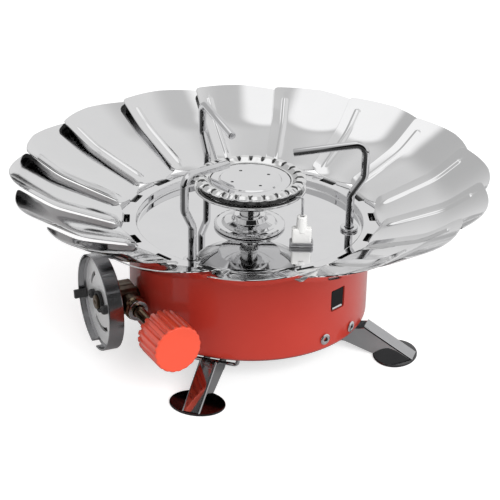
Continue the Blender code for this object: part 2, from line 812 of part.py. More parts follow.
def build_burner(steel, dark, brass):
    """Build the burner: foot, mixing tube with bowl, fluted crown and centre cap."""
    foot_bore = burner_stem_radius + gap
    wide, middle, narrow, throat = burner_foot_radius_shares
    low, raised, high = burner_foot_step_shares
    foot_profile = [
        (foot_bore, burner_level(0.0)),
        (burner_foot_radius, burner_level(0.0)),
        (burner_foot_radius, burner_level(burner_foot_step)),
        (burner_foot_radius * wide, burner_level(burner_foot_step * low)),
        (burner_foot_radius * middle, burner_level(burner_foot_step * raised)),
        (burner_foot_radius * narrow, burner_level(burner_foot_step * high)),
        (burner_foot_radius * throat, burner_level(burner_foot_height)),
        (foot_bore, burner_level(burner_foot_height)),
    ]
    revolve("burner_foot", foot_profile, 24, steel)

    stem = burner_stem_radius
    bore = stem - tube_wall
    rim = burner_head_radius
    sheet = burner_sheet
    lip = burner_level(burner_bowl_rim_height)
    bowl = burner_level(burner_bowl_height)
    bowl_profile = [
        (bore, tube_bottom_height),
        (stem, tube_bottom_height),
        (stem, bowl),
        (burner_bowl_radius, bowl + sheet),
        (crown_neck_radius, lip - sheet),
        (rim, lip),
        (rim, lip + burner_bowl_lip),
        (crown_neck_radius, lip + burner_bowl_lip),
        (crown_neck_radius - crown_seat, lip + burner_bowl_lip),
        (burner_bowl_radius, bowl + 2.0 * sheet),
        (bore, bowl + sheet),
    ]
    revolve("burner_bowl", bowl_profile, 32, dark)

    bottom = burner_level(crown_bottom_height)
    edge = bottom + crown_edge_height
    top = burner_level(crown_top_height)
    crown_profile = [
        (crown_neck_radius - crown_seat, lip + burner_bowl_lip + gap),
        (crown_neck_radius, lip + burner_bowl_lip + gap),
        (crown_neck_radius, bottom),
        (rim, bottom),
        (rim, edge),
        (crown_neck_radius, top),
        (crown_inner_radius + crown_seat, top - crown_flute_depth / 2.0),
        (crown_inner_radius, top - 2.0 * crown_flute_depth),
        (crown_inner_radius, bottom),
        (crown_neck_radius - crown_seat, bottom),
    ]
    crown = revolve("burner_crown", crown_profile, 2 * crown_port_count, steel)
    cutters = []
    for index in range(crown_port_count):
        angle = index * 360.0 / crown_port_count
        port = cylinder("port", crown_port_radius, -overrun, overrun * 2.0, 4, steel)
        turn(port, 90.0, "Y")
        shift(port, (crown_port_circle, 0.0, top))
        turn(port, angle)
        cutters.append(port)
    cut(crown, cutters)

    cap_low = burner_level(cap_height) - cap_thickness
    cap_edge = crown_inner_radius - gap
    cap_outline = [
        (cap_edge, cap_low),
        (cap_edge, cap_low + cap_thickness),
        (cap_raised_radius + cap_raised_step, cap_low + cap_thickness),
        (cap_raised_radius, cap_low + cap_thickness + cap_raised_step),
    ]
    cap = lathe("burner_cap", cap_outline, 32, steel)
    holes = []
    for index in range(cap_hole_count):
        hole_top = cap_low + cap_thickness + cap_raised_step + overrun
        hole = cylinder("cap_hole", cap_hole_radius, cap_low - overrun, hole_top, 6, steel)
        shift(hole, polar(cap_hole_circle, cap_hole_first_angle + index * 360.0 / cap_hole_count))
        holes.append(hole)
    cut(cap, holes)

    bevel = jet_radius * jet_bevel_share
    jet_outline = [
        (jet_radius - bevel, jet_bottom_height),
        (jet_radius, jet_bottom_height + bevel),
        (jet_radius, jet_top_height - jet_tip_length),
        (jet_tip_radius, jet_top_height - jet_tip_length),
        (jet_tip_radius - jet_tip_radius * jet_bevel_share, jet_top_height),
    ]
    lathe("gas_jet", jet_outline, 12, brass)


def build_valve(brass, steel):
    """Build the gas line from the jet to the valve, with its nuts."""
    outward = heading(valve_angle)
    lift = Vector((0.0, 0.0, valve_height))

    pipe = cylinder("gas_pipe", pipe_radius, jet_radius + gap, shank_inner_end - gap, 12, brass)
    lay_along(pipe, outward)
    shift(pipe, lift)

    step = shank_radius * shank_bevel_share
    block_end = flange_face - flange_sheet - gap
    outline = [
        (shank_radius - step, shank_inner_end),
        (shank_radius, shank_inner_end + step),
        (shank_radius, valve_block_start),
        (valve_block_radius, valve_block_start),
        (valve_block_radius, block_end),
        (nozzle_radius, block_end),
        (nozzle_radius, flange_face + nozzle_length - nozzle_radius / 3.0),
        (nozzle_radius * nozzle_bevel_share, flange_face + nozzle_length),
    ]
    body = lathe("valve_body", outline, 20, brass)
    lay_along(body, outward)
    shift(body, lift)
    branch = cylinder("branch", branch_radius, 0.0, branch_length, 20, brass)
    lay_along(branch, heading(branch_angle))
    shift(branch, polar(valve_centre, valve_angle, valve_height))
    low = (-valve_ear_length / 2.0, -valve_ear_width / 2.0, block_end - valve_ear_thickness)
    high = (valve_ear_length / 2.0, valve_ear_width / 2.0, block_end)
    ears = block("ears", low, high, brass)
    holes = []
    for side in (-1.0, 1.0):
        radius = flange_screw_shank_radius + gap
        hole = cylinder("screw_hole", radius, low[2] - overrun, high[2] + overrun, 8, brass)
        shift(hole, (side * flange_screw_offset, 0.0, 0.0))
        holes.append(hole)
    cut(ears, holes)
    lay_along(ears, outward)
    shift(ears, lift)
    weld(body, [branch, ears])
    bore = cylinder("bore", spindle_radius + gap, spindle_start - gap, branch_length + overrun, 12, brass)
    lay_along(bore, heading(branch_angle))
    shift(bore, polar(valve_centre, valve_angle, valve_height))
    bore_end = flange_face + nozzle_length + overrun
    nozzle_bore = cylinder("inlet", nozzle_bore_radius, block_end, bore_end, 8, brass)
    lay_along(nozzle_bore, outward)
    shift(nozzle_bore, lift)
    cut(body, [bore, nozzle_bore])

    nut_end = math.sqrt((drum_inner_flat - gap) ** 2 - wall_nut_radius ** 2)
    nut = hexagon_nut(
        "wall_nut", wall_nut_radius, shank_radius + gap, nut_end - wall_nut_thickness, nut_end, steel
    )
    lay_along(nut, outward)
    shift(nut, lift)

    start = polar(valve_centre, valve_angle, valve_height)
    packing = revolve(
        "packing_nut",
        [
            (spindle_radius + gap, packing_nut_start),
            (packing_nut_radius, packing_nut_start),
            (packing_nut_radius, packing_nut_start + packing_nut_thickness * packing_straight_share),
            (packing_nut_radius * packing_bevel_share, packing_nut_start + packing_nut_thickness),
            (spindle_radius + gap, packing_nut_start + packing_nut_thickness),
        ],
        16,
        brass,
    )
    lay_along(packing, heading(branch_angle))
    shift(packing, start)


def build_spindle_and_knob(brass, steel, plastic):
    """Build what turns by hand: the spindle, its spring ring and the ribbed knob."""
    axis = heading(branch_angle)
    start = polar(valve_centre, valve_angle, valve_height)

    spindle_end = knob_back + spindle_knob_depth
    spindle = cylinder("valve_spindle", spindle_radius, spindle_start, spindle_end, 12, brass)
    lay_along(spindle, axis)
    spindle.location = start

    ring_low = packing_nut_start + packing_nut_thickness + collar_gap
    ring = revolve(
        "spindle_ring",
        [
            (washer_inner_radius, ring_low),
            (washer_outer_radius, ring_low),
            (washer_outer_radius, ring_low + washer_thickness),
            (washer_inner_radius, ring_low + washer_thickness),
        ],
        16,
        steel,
    )
    lay_along(ring, axis)
    ring.location = start

    work = bmesh.new()
    face = knob_back + knob_length
    levels = [
        (knob_back, knob_chamfer, knob_groove),
        (knob_back + knob_chamfer, 0.0, knob_groove),
        (face - knob_face_rim, 0.0, knob_groove),
        (face - knob_face_rim / 2.0, 0.0, 0.0),
        (face, knob_face_rim / 2.0, 0.0),
    ]
    loops = []
    for height, inset, groove in levels:
        loops.append([work.verts.new((x, y, height)) for x, y in knob_outline(inset, groove)])
    for low, high in zip(loops, loops[1:]):
        for index in range(len(low)):
            follow = (index + 1) % len(low)
            work.faces.new((low[index], low[follow], high[follow], high[index]))
    work.faces.new(loops[0])
    work.faces.new(loops[-1])
    knob = finish_mesh("valve_knob", work, plastic)
    bore_end = knob_back + spindle_knob_depth + gap
    bore = cylinder("bore", spindle_radius + gap, knob_back - overrun, bore_end, 12, plastic)
    cut(knob, [bore])
    lay_along(knob, axis)
    knob.location = start


def knob_outline(inset, groove):
    """Return the knob's outline, with ribs that stand out from grooves of a depth."""
    outline = []
    for rib in range(knob_rib_count):
        for share, depth in zip(knob_rib_shares, (0.0, 0.0, groove, groove)):
            angle = 2.0 * math.pi * (rib + share) / knob_rib_count
            radius = knob_radius - inset - depth
            outline.append((radius * math.cos(angle), radius * math.sin(angle)))
    return outline


def build_flange(steel, rubber, dark):
    """Build the cartridge flange with its seal, screws and locating tab."""
    face = flange_face
    back = face - flange_sheet
    lip = face + flange_lip
    wall = flange_radius - flange_sheet
    bore = nozzle_radius + gap
    profile = [
        (bore, back),
        (wall, back),
        (wall, face - flange_skirt),
        (flange_radius, face - flange_skirt),
        (flange_radius, lip),
        (wall, lip),
        (wall, face),
        (bore, face),
    ]
    cup = revolve("cartridge_flange", profile, 36, steel)
    cutters = []
    for middle, sweep in zip(flange_slot_angles, flange_slot_sweeps):
        cutters.append(flange_slot(middle, sweep, steel))
    half = flange_notch_width / 2.0
    for angle in flange_notch_angles:
        low = (wall - overrun, -half, face + flange_lip / 4.0)
        high = (flange_radius + overrun, half, lip + overrun)
        notch = block("notch", low, high, steel)
        turn(notch, angle)
        cutters.append(notch)
    for side in (-1.0, 1.0):
        radius = flange_screw_shank_radius + gap
        hole = cylinder("screw_hole", radius, back - overrun, face + overrun, 8, steel)
        shift(hole, (side * flange_screw_offset, 0.0, 0.0))
        cutters.append(hole)
    cut(cup, cutters)

    seal = revolve(
        "cartridge_seal",
        [
            (nozzle_radius + gap, face + gap),
            (seal_outer_radius, face + gap),
            (seal_outer_radius, face + gap + seal_thickness),
            (nozzle_radius + gap, face + gap + seal_thickness),
        ],
        20,
        rubber,
    )

    screws = []
    tip = face + gap - flange_screw_length
    for index, side in enumerate((-1.0, 1.0)):
        outline = [
            (flange_screw_shank_radius, tip),
            (flange_screw_shank_radius, face + gap),
            (flange_screw_head_radius, face + gap),
            (flange_screw_head_radius, face + gap + flange_screw_head_height * flange_screw_straight_share),
            (flange_screw_head_radius * flange_screw_bevel_share, face + gap + flange_screw_head_height),
        ]
        screw = lathe("flange_screw_%d" % (index + 1), outline, 12, dark)
        shift(screw, (side * flange_screw_offset, 0.0, 0.0))
        screws.append(screw)

    half = locating_tab_width / 2.0
    outer = math.sqrt((wall * math.cos(math.pi / 36.0) - gap) ** 2 - half ** 2)
    low = (outer - locating_tab_thickness, -half, face + gap)
    tab = block("locating_tab", low, (outer, half, face + locating_tab_length), dark)
    turn(tab, locating_tab_angle)

    lift = Vector((0.0, 0.0, valve_height))
    for thing in (cup, seal, tab, *screws):
        lay_along(thing, heading(valve_angle))
        shift(thing, lift)


def flange_slot(middle, sweep, surface):
    """Return the cutter for one curved slot in the flange's face."""
    outer = flange_slot_circle + flange_slot_width / 2.0
    inner = flange_slot_circle - flange_slot_width / 2.0
    start = middle - sweep / 2.0
    end = middle + sweep / 2.0
    outline = arc_outline((0.0, 0.0), outer, start, end, 4)
    outline += arc_outline((0.0, 0.0), inner, end, start, 4)
    slot = extrude_outline("curved_slot", outline, flange_sheet + 2.0 * overrun, surface)
    turn(slot, -90.0, "X")
    shift(slot, (0.0, 0.0, flange_face - flange_sheet / 2.0))
    return slot


def build_igniter(black, white, steel, lead_surface):
    """Build the push igniter in the drum and its electrode beside the burner."""
    half_window = window_width / 2.0 - running_gap
    half_tall = window_height / 2.0 - running_gap
    centre = window_centre_height
    face = drum_radius - button_set_back
    back = face - button_depth
    stem_end = back - button_stem_length

    button = block(
        "igniter_button",
        (back, -half_window, centre - half_tall),
        (face, half_window, centre + half_tall),
        black,
    )
    stem = block(
        "stem",
        (stem_end, -button_stem_width / 2.0, centre - button_stem_height / 2.0),
        (back + overrun, button_stem_width / 2.0, centre + button_stem_height / 2.0),
        black,
    )
    weld(button, [stem])
    turn(button, igniter_angle)

    front = igniter_front
    rear = front - igniter_length
    body = block(
        "igniter_body",
        (rear, -igniter_width / 2.0, centre - igniter_height / 2.0),
        (front, igniter_width / 2.0, centre + igniter_height / 2.0),
        black,
    )
    pocket_half = button_stem_width / 2.0 + running_gap
    pocket_tall = button_stem_height / 2.0 + running_gap
    pocket = block(
        "pocket",
        (front - igniter_pocket_depth, -pocket_half, centre - pocket_tall),
        (front + overrun, pocket_half, centre + pocket_tall),
        black,
    )
    cut(body, [pocket])
    turn(body, igniter_angle)

    spring_start = front - igniter_pocket_depth + gap + spring_wire_radius
    spring_end = stem_end - gap - spring_wire_radius
    count = spring_turns * spring_points_per_turn
    points = []
    for index in range(count + 1):
        angle = 2.0 * math.pi * index / spring_points_per_turn
        along = spring_start + (spring_end - spring_start) * index / count
        side = spring_radius * math.cos(angle)
        points.append(Vector((along, side, centre + spring_radius * math.sin(angle))))
    spring = tube("igniter_spring", points, spring_wire_radius, steel, 0)
    turn(spring, igniter_angle)

    build_igniter_bracket(steel)
    build_rivets(steel)
    build_electrode(white, steel)
    build_lead(lead_surface)


def build_igniter_bracket(steel):
    """Build the bracket that carries the igniter, riveted to the drum's wall."""
    inner = drum_inner_flat - gap
    wall_x = math.sqrt(inner ** 2 - (bracket_width / 2.0) ** 2)
    middle = bracket_angle
    low = bracket_bottom_height
    plate = block(
        "igniter_bracket",
        (wall_x - bracket_sheet, -bracket_width / 2.0, low),
        (wall_x, bracket_width / 2.0, low + bracket_height),
        steel,
    )
    shelf_top = window_centre_height - igniter_height / 2.0 - gap
    half = bracket_tongue_width / 2.0
    upright = block(
        "upright",
        (wall_x - bracket_sheet, -half, low),
        (wall_x, half, shelf_top),
        steel,
    )
    shelf = block(
        "shelf",
        (igniter_front - igniter_length, -half, shelf_top - bracket_sheet),
        (wall_x, half, shelf_top),
        steel,
    )
    weld(plate, [upright, shelf])
    holes = []
    for angle, height in zip(rivet_angles, rivet_heights):
        hole = cylinder("hole", rivet_radius + gap, drum_radius - drum_corner * 4.0, drum_radius, 12, steel)
        lay_along(hole, heading(angle - middle))
        shift(hole, (0.0, 0.0, height))
        holes.append(hole)
    cut(plate, holes)
    turn(plate, middle)


def build_rivets(steel):
    """Build the two tubular rivets that hold the igniter's bracket."""
    inner = drum_inner_flat - gap
    reach = drum_radius - math.sqrt(inner ** 2 - (bracket_width / 2.0) ** 2) + bracket_sheet
    outer = drum_radius + gap
    profile = [
        (rivet_bore_radius, outer - reach - 3.0 * gap),
        (rivet_radius, outer - reach - 3.0 * gap),
        (rivet_radius, outer),
        (rivet_head_radius, outer),
        (rivet_head_radius * rivet_bevel_share, outer + rivet_head_thickness),
        (rivet_bore_radius * rivet_mouth_share, outer + rivet_head_thickness),
    ]
    for index, (angle, height) in enumerate(zip(rivet_angles, rivet_heights)):
        rivet = revolve("igniter_rivet_%d" % (index + 1), profile, 12, steel)
        lay_along(rivet, heading(angle))
        shift(rivet, (0.0, 0.0, height))


def build_electrode(white, steel):
    """Build the ceramic insulator, its clip and the bent electrode pin."""
    spot = Vector((electrode_x, electrode_y, 0.0))
    facing = math.degrees(math.atan2(electrode_y, electrode_x))
    half = electrode_block_width / 2.0
    deep = electrode_block_depth / 2.0
    low = floor_top + gap
    block_top = low + electrode_block_height
    neck_top = block_top + electrode_neck_height
    ceramic = block("electrode_ceramic", (-half, -deep, low), (half, deep, block_top), white)
    neck = cylinder("neck", electrode_neck_radius, block_top - overrun, neck_top, 16, white)
    tail_end = floor_under - electrode_tail_length
    tail = cylinder("tail", electrode_tail_radius, tail_end, low + overrun, 12, white)
    weld(ceramic, [neck, tail])
    wire_bore = electrode_wire_radius + gap
    core = cylinder("core", wire_bore, neck_top - electrode_neck_height, neck_top + overrun, 8, white)
    cut(ceramic, [core])
    shift(ceramic, spot)

    wire_low = neck_top - electrode_neck_height + gap
    tip_height = floor_top + electrode_tip_height + floor_drop
    tip = polar(electrode_tip_reach, facing, tip_height)
    corners = [
        spot + Vector((0.0, 0.0, wire_low)),
        spot + Vector((0.0, 0.0, tip_height + electrode_wire_radius * 3.0)),
        tip,
    ]
    path = rounded_path(corners, electrode_wire_radius * 5.0, 4)
    tube("electrode_pin", path, electrode_wire_radius, steel, 1)

    outer = half + gap
    front = -deep - gap
    clip = block(
        "electrode_clip",
        (-outer - clip_sheet, front - clip_sheet - clip_foot, low),
        (outer + clip_sheet, deep + gap + clip_sheet, low + clip_height),
        steel,
    )
    room = block(
        "room",
        (-outer, front, low - overrun),
        (outer, deep + gap, low + clip_height + overrun),
        steel,
    )
    shelf_room = block(
        "shelf_room",
        (-outer - clip_sheet - overrun, front - clip_sheet - clip_foot - overrun, low + clip_sheet),
        (outer + clip_sheet + overrun, front - clip_sheet, low + clip_height + overrun),
        steel,
    )
    cut(clip, [room, shelf_room])
    shift(clip, spot)


def build_lead(lead_surface):
    """Build the short lead from the igniter to the electrode inside the drum."""
    rear = igniter_front - igniter_length - gap
    start = polar(rear, igniter_angle, window_centre_height)
    away = polar(rear - lead_drop, igniter_angle, window_centre_height)
    tail_end = floor_under - electrode_tail_length - gap
    run_height = tail_end - 2.0 * lead_radius
    above = Vector((away.x, away.y, run_height))
    end = Vector((electrode_x, electrode_y, tail_end))
    below_end = Vector((end.x, end.y, run_height))
    corners = [start, away, above, below_end, end]
    smooth = rounded_path(corners, lead_radius * 2.0, 3)
    tube("ignition_lead", smooth, lead_radius, lead_surface, 1)


def build_legs(steel):
    """Build the three folding channel legs and the wire staples they hang on."""
    for index, angle in enumerate(leg_angles):
        leg = build_leg("leg_%d" % (index + 1), steel)
        leg.location = polar(leg_pivot_radius, angle, leg_pivot_height)
        leg.rotation_euler = (0.0, 0.0, math.radians(angle))
        staple = build_staple("leg_staple_%d" % (index + 1), steel)
        staple.location = polar(leg_pivot_radius, angle)
        staple.rotation_euler = (0.0, 0.0, math.radians(angle))


def build_leg(name, steel):
    """Return one pressed leg about its pivot: channel and round foot in one piece."""
    pivot = (leg_pivot_radius, leg_pivot_height)
    knuckle = arc_outline(pivot, leg_knuckle_radius, 80.0, 280.0, 5)
    shoulder_height = leg_pivot_height + leg_knuckle_radius * leg_knuckle_share
    ridge = [
        (leg_toe, 0.0),
        (leg_toe, leg_toe_height),
        (leg_ridge_start, leg_ridge_start_height),
        (leg_shoulder, shoulder_height),
    ]
    heel = [(leg_heel, foot_thickness), (leg_heel, 0.0)]
    outline = [(x - pivot[0], z - pivot[1]) for x, z in knuckle + heel + ridge]
    leg = extrude_outline(name, outline, leg_width, steel)

    slope = (leg_ridge_start_height - leg_toe_height) / (leg_toe - leg_ridge_start)
    drop = leg_sheet / math.cos(math.atan(slope))
    inner_toe = leg_toe - leg_sheet * 2.0
    hollow_top = leg_ridge_start_height - drop
    hollow = [
        (pivot[0] - leg_knuckle_radius - overrun, -overrun),
        (inner_toe, -overrun),
        (inner_toe, leg_toe_height - drop + slope * (leg_toe - inner_toe)),
        (leg_ridge_start, hollow_top),
        (leg_ridge_start - overrun, leg_ridge_start_height + overrun),
        (pivot[0] - leg_knuckle_radius - overrun, leg_ridge_start_height + overrun),
    ]
    moved = [(x - pivot[0], z - pivot[1]) for x, z in hollow]
    inside = extrude_outline("inside", moved, leg_width - 2.0 * leg_sheet, steel)
    pin_hole = cylinder("pin_hole", staple_radius + gap, -leg_width, leg_width, 8, steel)
    turn(pin_hole, 90.0, "X")
    cut(leg, [inside, pin_hole])

    foot = cylinder("foot", foot_half_width, 0.0, foot_thickness, 24, steel)
    foot.data.transform(Matrix.Diagonal((foot_half_length / foot_half_width, 1.0, 1.0, 1.0)))
    shift(foot, (foot_centre - pivot[0], 0.0, -pivot[1]))
    weld(leg, [foot])
    return leg


def build_staple(name, steel):
    """Return the wire staple that a leg turns on, with its ends headed in the drum."""
    base = drum_base_height + drum_wall + gap
    top = base + staple_head_thickness
    half = staple_half_width
    corners = [
        (0.0, -half, top),
        (0.0, -half, leg_pivot_height),
        (0.0, half, leg_pivot_height),
        (0.0, half, top),
    ]
    wire = tube(name, rounded_path(corners, staple_bend, 3), staple_radius, steel, 1)
    heads = []
    for side in (-1.0, 1.0):
        head = cylinder("head", staple_head_radius, base, top + gap, 8, steel)
        shift(head, (0.0, side * half, 0.0))
        heads.append(head)
    return weld(wire, heads)


def main():
    """Build the whole stove."""
    clear_scene()
    paint = make_material("red_paint", (0.52, 0.055, 0.035), 0.28, 0.0)
    chrome = make_material("chrome", (0.80, 0.80, 0.81), 0.08, 1.0)
    bright_steel = make_material("bright_steel", (0.74, 0.74, 0.75), 0.14, 1.0)
    petal_steel = make_material("petal_steel", (0.78, 0.78, 0.79), 0.12, 1.0)
    rod_steel = make_material("rod_steel", (0.70, 0.70, 0.71), 0.18, 1.0)
    leg_steel = make_material("leg_steel", (0.70, 0.70, 0.71), 0.15, 1.0)
    burner_steel = make_material("burner_steel", (0.80, 0.80, 0.80), 0.20, 1.0)
    dark_steel = make_material("dark_steel", (0.30, 0.30, 0.31), 0.30, 1.0)
    brass = make_material("brass", (0.36, 0.27, 0.15), 0.30, 1.0)
    coral = make_material("coral_plastic", (0.90, 0.13, 0.06), 0.42, 0.0)
    black = make_material("black_plastic", (0.015, 0.015, 0.016), 0.40, 0.0)
    rubber = make_material("rubber", (0.02, 0.02, 0.02), 0.70, 0.0)
    ceramic = make_material("ceramic", (0.86, 0.86, 0.84), 0.35, 0.0)
    lead = make_material("lead_sleeve", (0.75, 0.74, 0.70), 0.55, 0.0)

    build_drum(paint)
    build_plate(chrome)
    build_petals(petal_steel)
    build_supports(rod_steel, bright_steel)
    build_burner(burner_steel, dark_steel, brass)
    build_valve(brass, bright_steel)
    build_spindle_and_knob(brass, bright_steel, coral)
    build_flange(chrome, rubber, black)
    build_igniter(black, ceramic, bright_steel, lead)
    build_legs(leg_steel)


main()
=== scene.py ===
"""Camping gas stove with a folding petal windshield: its surfaces, finishes, light and camera.

Lengths are in metres and angles in degrees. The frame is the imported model's: the origin on
the ground under the drum, +Z up, the front of the stove facing -Y. A surface is a grid of
points worked out from two parameters, and a piece is one or more grids welded into a mesh.
"""
import logging
import math
from collections.abc import Callable, Sequence
from dataclasses import dataclass, field
from enum import Enum

import bmesh
import bpy
import numpy as np
from mathutils import Matrix, Vector


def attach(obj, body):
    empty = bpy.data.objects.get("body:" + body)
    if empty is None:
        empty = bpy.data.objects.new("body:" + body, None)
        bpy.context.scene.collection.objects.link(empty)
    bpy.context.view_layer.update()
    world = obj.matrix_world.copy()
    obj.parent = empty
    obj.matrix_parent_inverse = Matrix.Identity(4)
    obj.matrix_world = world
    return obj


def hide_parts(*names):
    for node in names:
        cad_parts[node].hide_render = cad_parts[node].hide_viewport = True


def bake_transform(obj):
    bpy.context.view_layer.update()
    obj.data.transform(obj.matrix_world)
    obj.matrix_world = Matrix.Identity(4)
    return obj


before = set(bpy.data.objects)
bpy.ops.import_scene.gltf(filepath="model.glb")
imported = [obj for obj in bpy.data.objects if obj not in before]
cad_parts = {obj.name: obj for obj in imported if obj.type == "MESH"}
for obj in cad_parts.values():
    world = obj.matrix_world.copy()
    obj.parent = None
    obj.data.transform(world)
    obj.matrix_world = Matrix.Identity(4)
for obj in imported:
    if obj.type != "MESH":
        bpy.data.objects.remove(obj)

LOG = logging.getLogger("stove")
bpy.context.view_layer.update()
GAP = 0.0003  # the play between two pieces
WELD = 2e-6  # points nearer than this are one
STRAIGHT = 0.02  # a corner that turns less than this, in radians, keeps its point
ARC_SHARE = 0.38  # how much of the shorter side an arc may use up
HOLD = 1.22  # how far outside its arc the point that keeps a flat flat lies
SPREAD = 1.4  # how the rows round a hole crowd towards it
ROUND_END = ((0.0, 0.0), (0.0, 0.7), (0.0002, 1.0))  # a bar's end: distance, share of radius
UP = (0.0, 0.0, 1.0)
Grid = np.ndarray
Outline = Callable[[float], np.ndarray]
Shade = Callable[[np.ndarray, np.ndarray], np.ndarray]
Pair = tuple[float, float]
Three = tuple[float, float, float]


# ---------------------------------------------------------------- places and surfaces


def heading(angle: float) -> np.ndarray:
    """Return the level unit vector that points along an angle."""
    turn = math.radians(angle)
    return np.array((math.cos(turn), math.sin(turn), 0.0))


def polar(radius: float, angle: float, height: float = 0.0) -> np.ndarray:
    """Return the point at a radius, an angle and a height."""
    return heading(angle) * radius + np.array((0.0, 0.0, height))


def smooth(share: np.ndarray) -> np.ndarray:
    """Return 3s^2 - 2s^3 of a share kept between 0 and 1."""
    kept = np.clip(share, 0.0, 1.0)
    return kept * kept * (3.0 - 2.0 * kept)


def fade(value: np.ndarray, start: float, length: float) -> np.ndarray:
    """Return 0 before a start and 1 a length past it; a negative length falls instead."""
    return smooth((value - start) / length)


def unit(vectors: np.ndarray) -> np.ndarray:
    """Return vectors scaled to a length of one."""
    return vectors / np.linalg.norm(vectors, axis=-1)[..., None]


@dataclass(frozen=True)
class Place:
    """A local frame.

    Attributes:
        origin: where its origin is.
        ahead: where its Z points.
        side: where its X points.
    """

    origin: Sequence[float] = (0.0, 0.0, 0.0)
    ahead: Sequence[float] = UP
    side: Sequence[float] = (1.0, 0.0, 0.0)

    @classmethod
    def upright(cls, angle: float, radius: float = 0.0, height: float = 0.0) -> "Place":
        """Return a frame with its Z up and its X along an angle."""
        return cls(polar(radius, angle, height), UP, heading(angle))

    @classmethod
    def lying(cls, angle: float, origin: Sequence[float] = (0.0, 0.0, 0.0)) -> "Place":
        """Return a frame with its Z level along an angle and its Y up."""
        ahead = heading(angle)
        return cls(origin, ahead, np.cross(UP, ahead))

    def basis(self) -> np.ndarray:
        """Return the frame's X, Y and Z as rows."""
        ahead, side = np.asarray(self.ahead), np.asarray(self.side)
        return np.stack((side, np.cross(ahead, side), ahead))

    def carry(self, points: Grid) -> Grid:
        """Return points of this frame as points of the stove's frame."""
        return points @ self.basis() + np.asarray(self.origin)

    def recall(self, points: np.ndarray) -> np.ndarray:
        """Return points of the stove's frame as points of this frame."""
        return (points - np.asarray(self.origin)) @ self.basis().T


def rounded(corners: Sequence, radius: float, steps: int = 4, closed: bool = False) -> np.ndarray:
    """Round the corners of a polyline with arcs.

    An arc is centre + (sin((1-t)w) start + sin(tw) end) / sin(w) for t from 0 to 1, where w
    is the angle that it sweeps. A point just outside each arc keeps the flats flat.

    Args:
        corners: the corners, as points of two or three coordinates.
        radius: the arcs' radius, smaller where two corners lie close.
        steps: the faces of each arc.
        closed: whether the last corner joins the first.

    Returns:
        The points of the rounded line, with the first repeated at the end if closed.
    """
    points = np.asarray(corners, float)
    last = len(points) - 1
    line = []
    for index, corner in enumerate(points):
        if not closed and index in (0, last):
            line.append(corner[None])
            continue
        back = points[index - 1] - corner
        onward = points[(index + 1) % len(points)] - corner
        lengths = (np.linalg.norm(back), np.linalg.norm(onward))
        back, onward = back / lengths[0], onward / lengths[1]
        half = math.acos(float(np.clip(back @ onward, -1.0, 1.0))) / 2.0
        sweep = math.pi - 2.0 * half
        if sweep < STRAIGHT:
            line.append(corner[None])
            continue
        reach = min(radius / math.tan(half), ARC_SHARE * min(lengths))
        bisector = (back + onward) / np.linalg.norm(back + onward)
        centre = corner + bisector * (reach / math.cos(half))
        start, end = corner + back * reach - centre, corner + onward * reach - centre
        share = np.linspace(0.0, 1.0, steps + 1)[:, None]
        swing = np.sin((1.0 - share) * sweep) * start + np.sin(share * sweep) * end
        line += [(corner + back * reach * HOLD)[None], centre + swing / math.sin(sweep),
                 (corner + onward * reach * HOLD)[None]]
    if closed:
        line.append(line[0][:1])
    return np.vstack(line)


def arc(centre: Sequence[float], radius: float, start: float, end: float, steps: int) -> np.ndarray:
    """Return the points of a flat arc: centre + r (cos a, sin a)."""
    turn = np.radians(np.linspace(start, end, steps + 1))
    return np.asarray(centre) + radius * np.column_stack((np.cos(turn), np.sin(turn)))


def raised(flat: np.ndarray, height: float) -> np.ndarray:
    """Return flat points with a height as their last coordinate."""
    return np.concatenate((flat, np.full((*flat.shape[:-1], 1), height)), -1)


def level_line(radii: np.ndarray, height: float) -> np.ndarray:
    """Return a profile of (radius, height) that stays level."""
    return raised(radii[:, None], height)


def section(inner: float, outer: float, low: float, high: float) -> tuple[Pair, Pair, Pair, Pair]:
    """Return the corners of a ring's section, or of a bar's where the inner radius is 0."""
    return (inner, low), (outer, low), (outer, high), (inner, high)


def turned(profile: np.ndarray, angles: np.ndarray) -> Grid:
    """Turn a profile of (radius, height) about Z: x = r cos a, y = r sin a, z = height."""
    turn = np.radians(angles)
    radius, height = profile[:, :1], profile[:, 1:]
    return np.stack((radius * np.cos(turn), radius * np.sin(turn), height + 0.0 * turn), -1)


def lathe(
    corners: Sequence, radius: float, sides: int = 72, steps: int = 3, place: Place = Place()
) -> Grid:
    """Turn a closed profile with rounded corners all the way about a frame's Z."""
    profile = rounded(corners, radius, steps, closed=True)
    return place.carry(turned(profile, np.linspace(0.0, 360.0, sides + 1)))


def rod(
    path: np.ndarray,
    radius: float,
    level: Sequence[float],
    end: Sequence[Pair] = ROUND_END,
    sides: int = 20,
) -> Grid:
    """Carry a circle along a path that lies in one plane.

    A row is p + r (cos a side + sin a level), where side is the path's tangent cross level.

    Args:
        path: the middle line's points.
        radius: the bar's radius.
        level: the unit normal of the path's plane.
        end: (distance from the end, share of the radius) rows that close both ends.
        sides: the faces round the bar.

    Returns:
        The grid, closed at both ends by rows of radius zero.
    """
    tangent = np.gradient(path, axis=0)
    tangent /= np.linalg.norm(tangent, axis=1)[:, None]
    inset = np.array([distance for distance, _ in end])[:, None]
    close = [share for _, share in end]
    centre = np.vstack((path[:1] + tangent[:1] * inset, path[1:-1],
                        path[-1:] - tangent[-1:] * inset[::-1]))
    way = np.vstack((np.repeat(tangent[:1], len(end), 0), tangent[1:-1],
                     np.repeat(tangent[-1:], len(end), 0)))
    normal = np.asarray(level, float)
    side = np.cross(way, normal)
    turn = np.linspace(0.0, 2.0 * math.pi, sides + 1)[None, :, None]
    reach = np.array(close + [1.0] * (len(path) - 2) + close[::-1])[:, None, None] * radius
    return centre[:, None] + reach * (np.cos(turn) * side[:, None] + np.sin(turn) * normal)


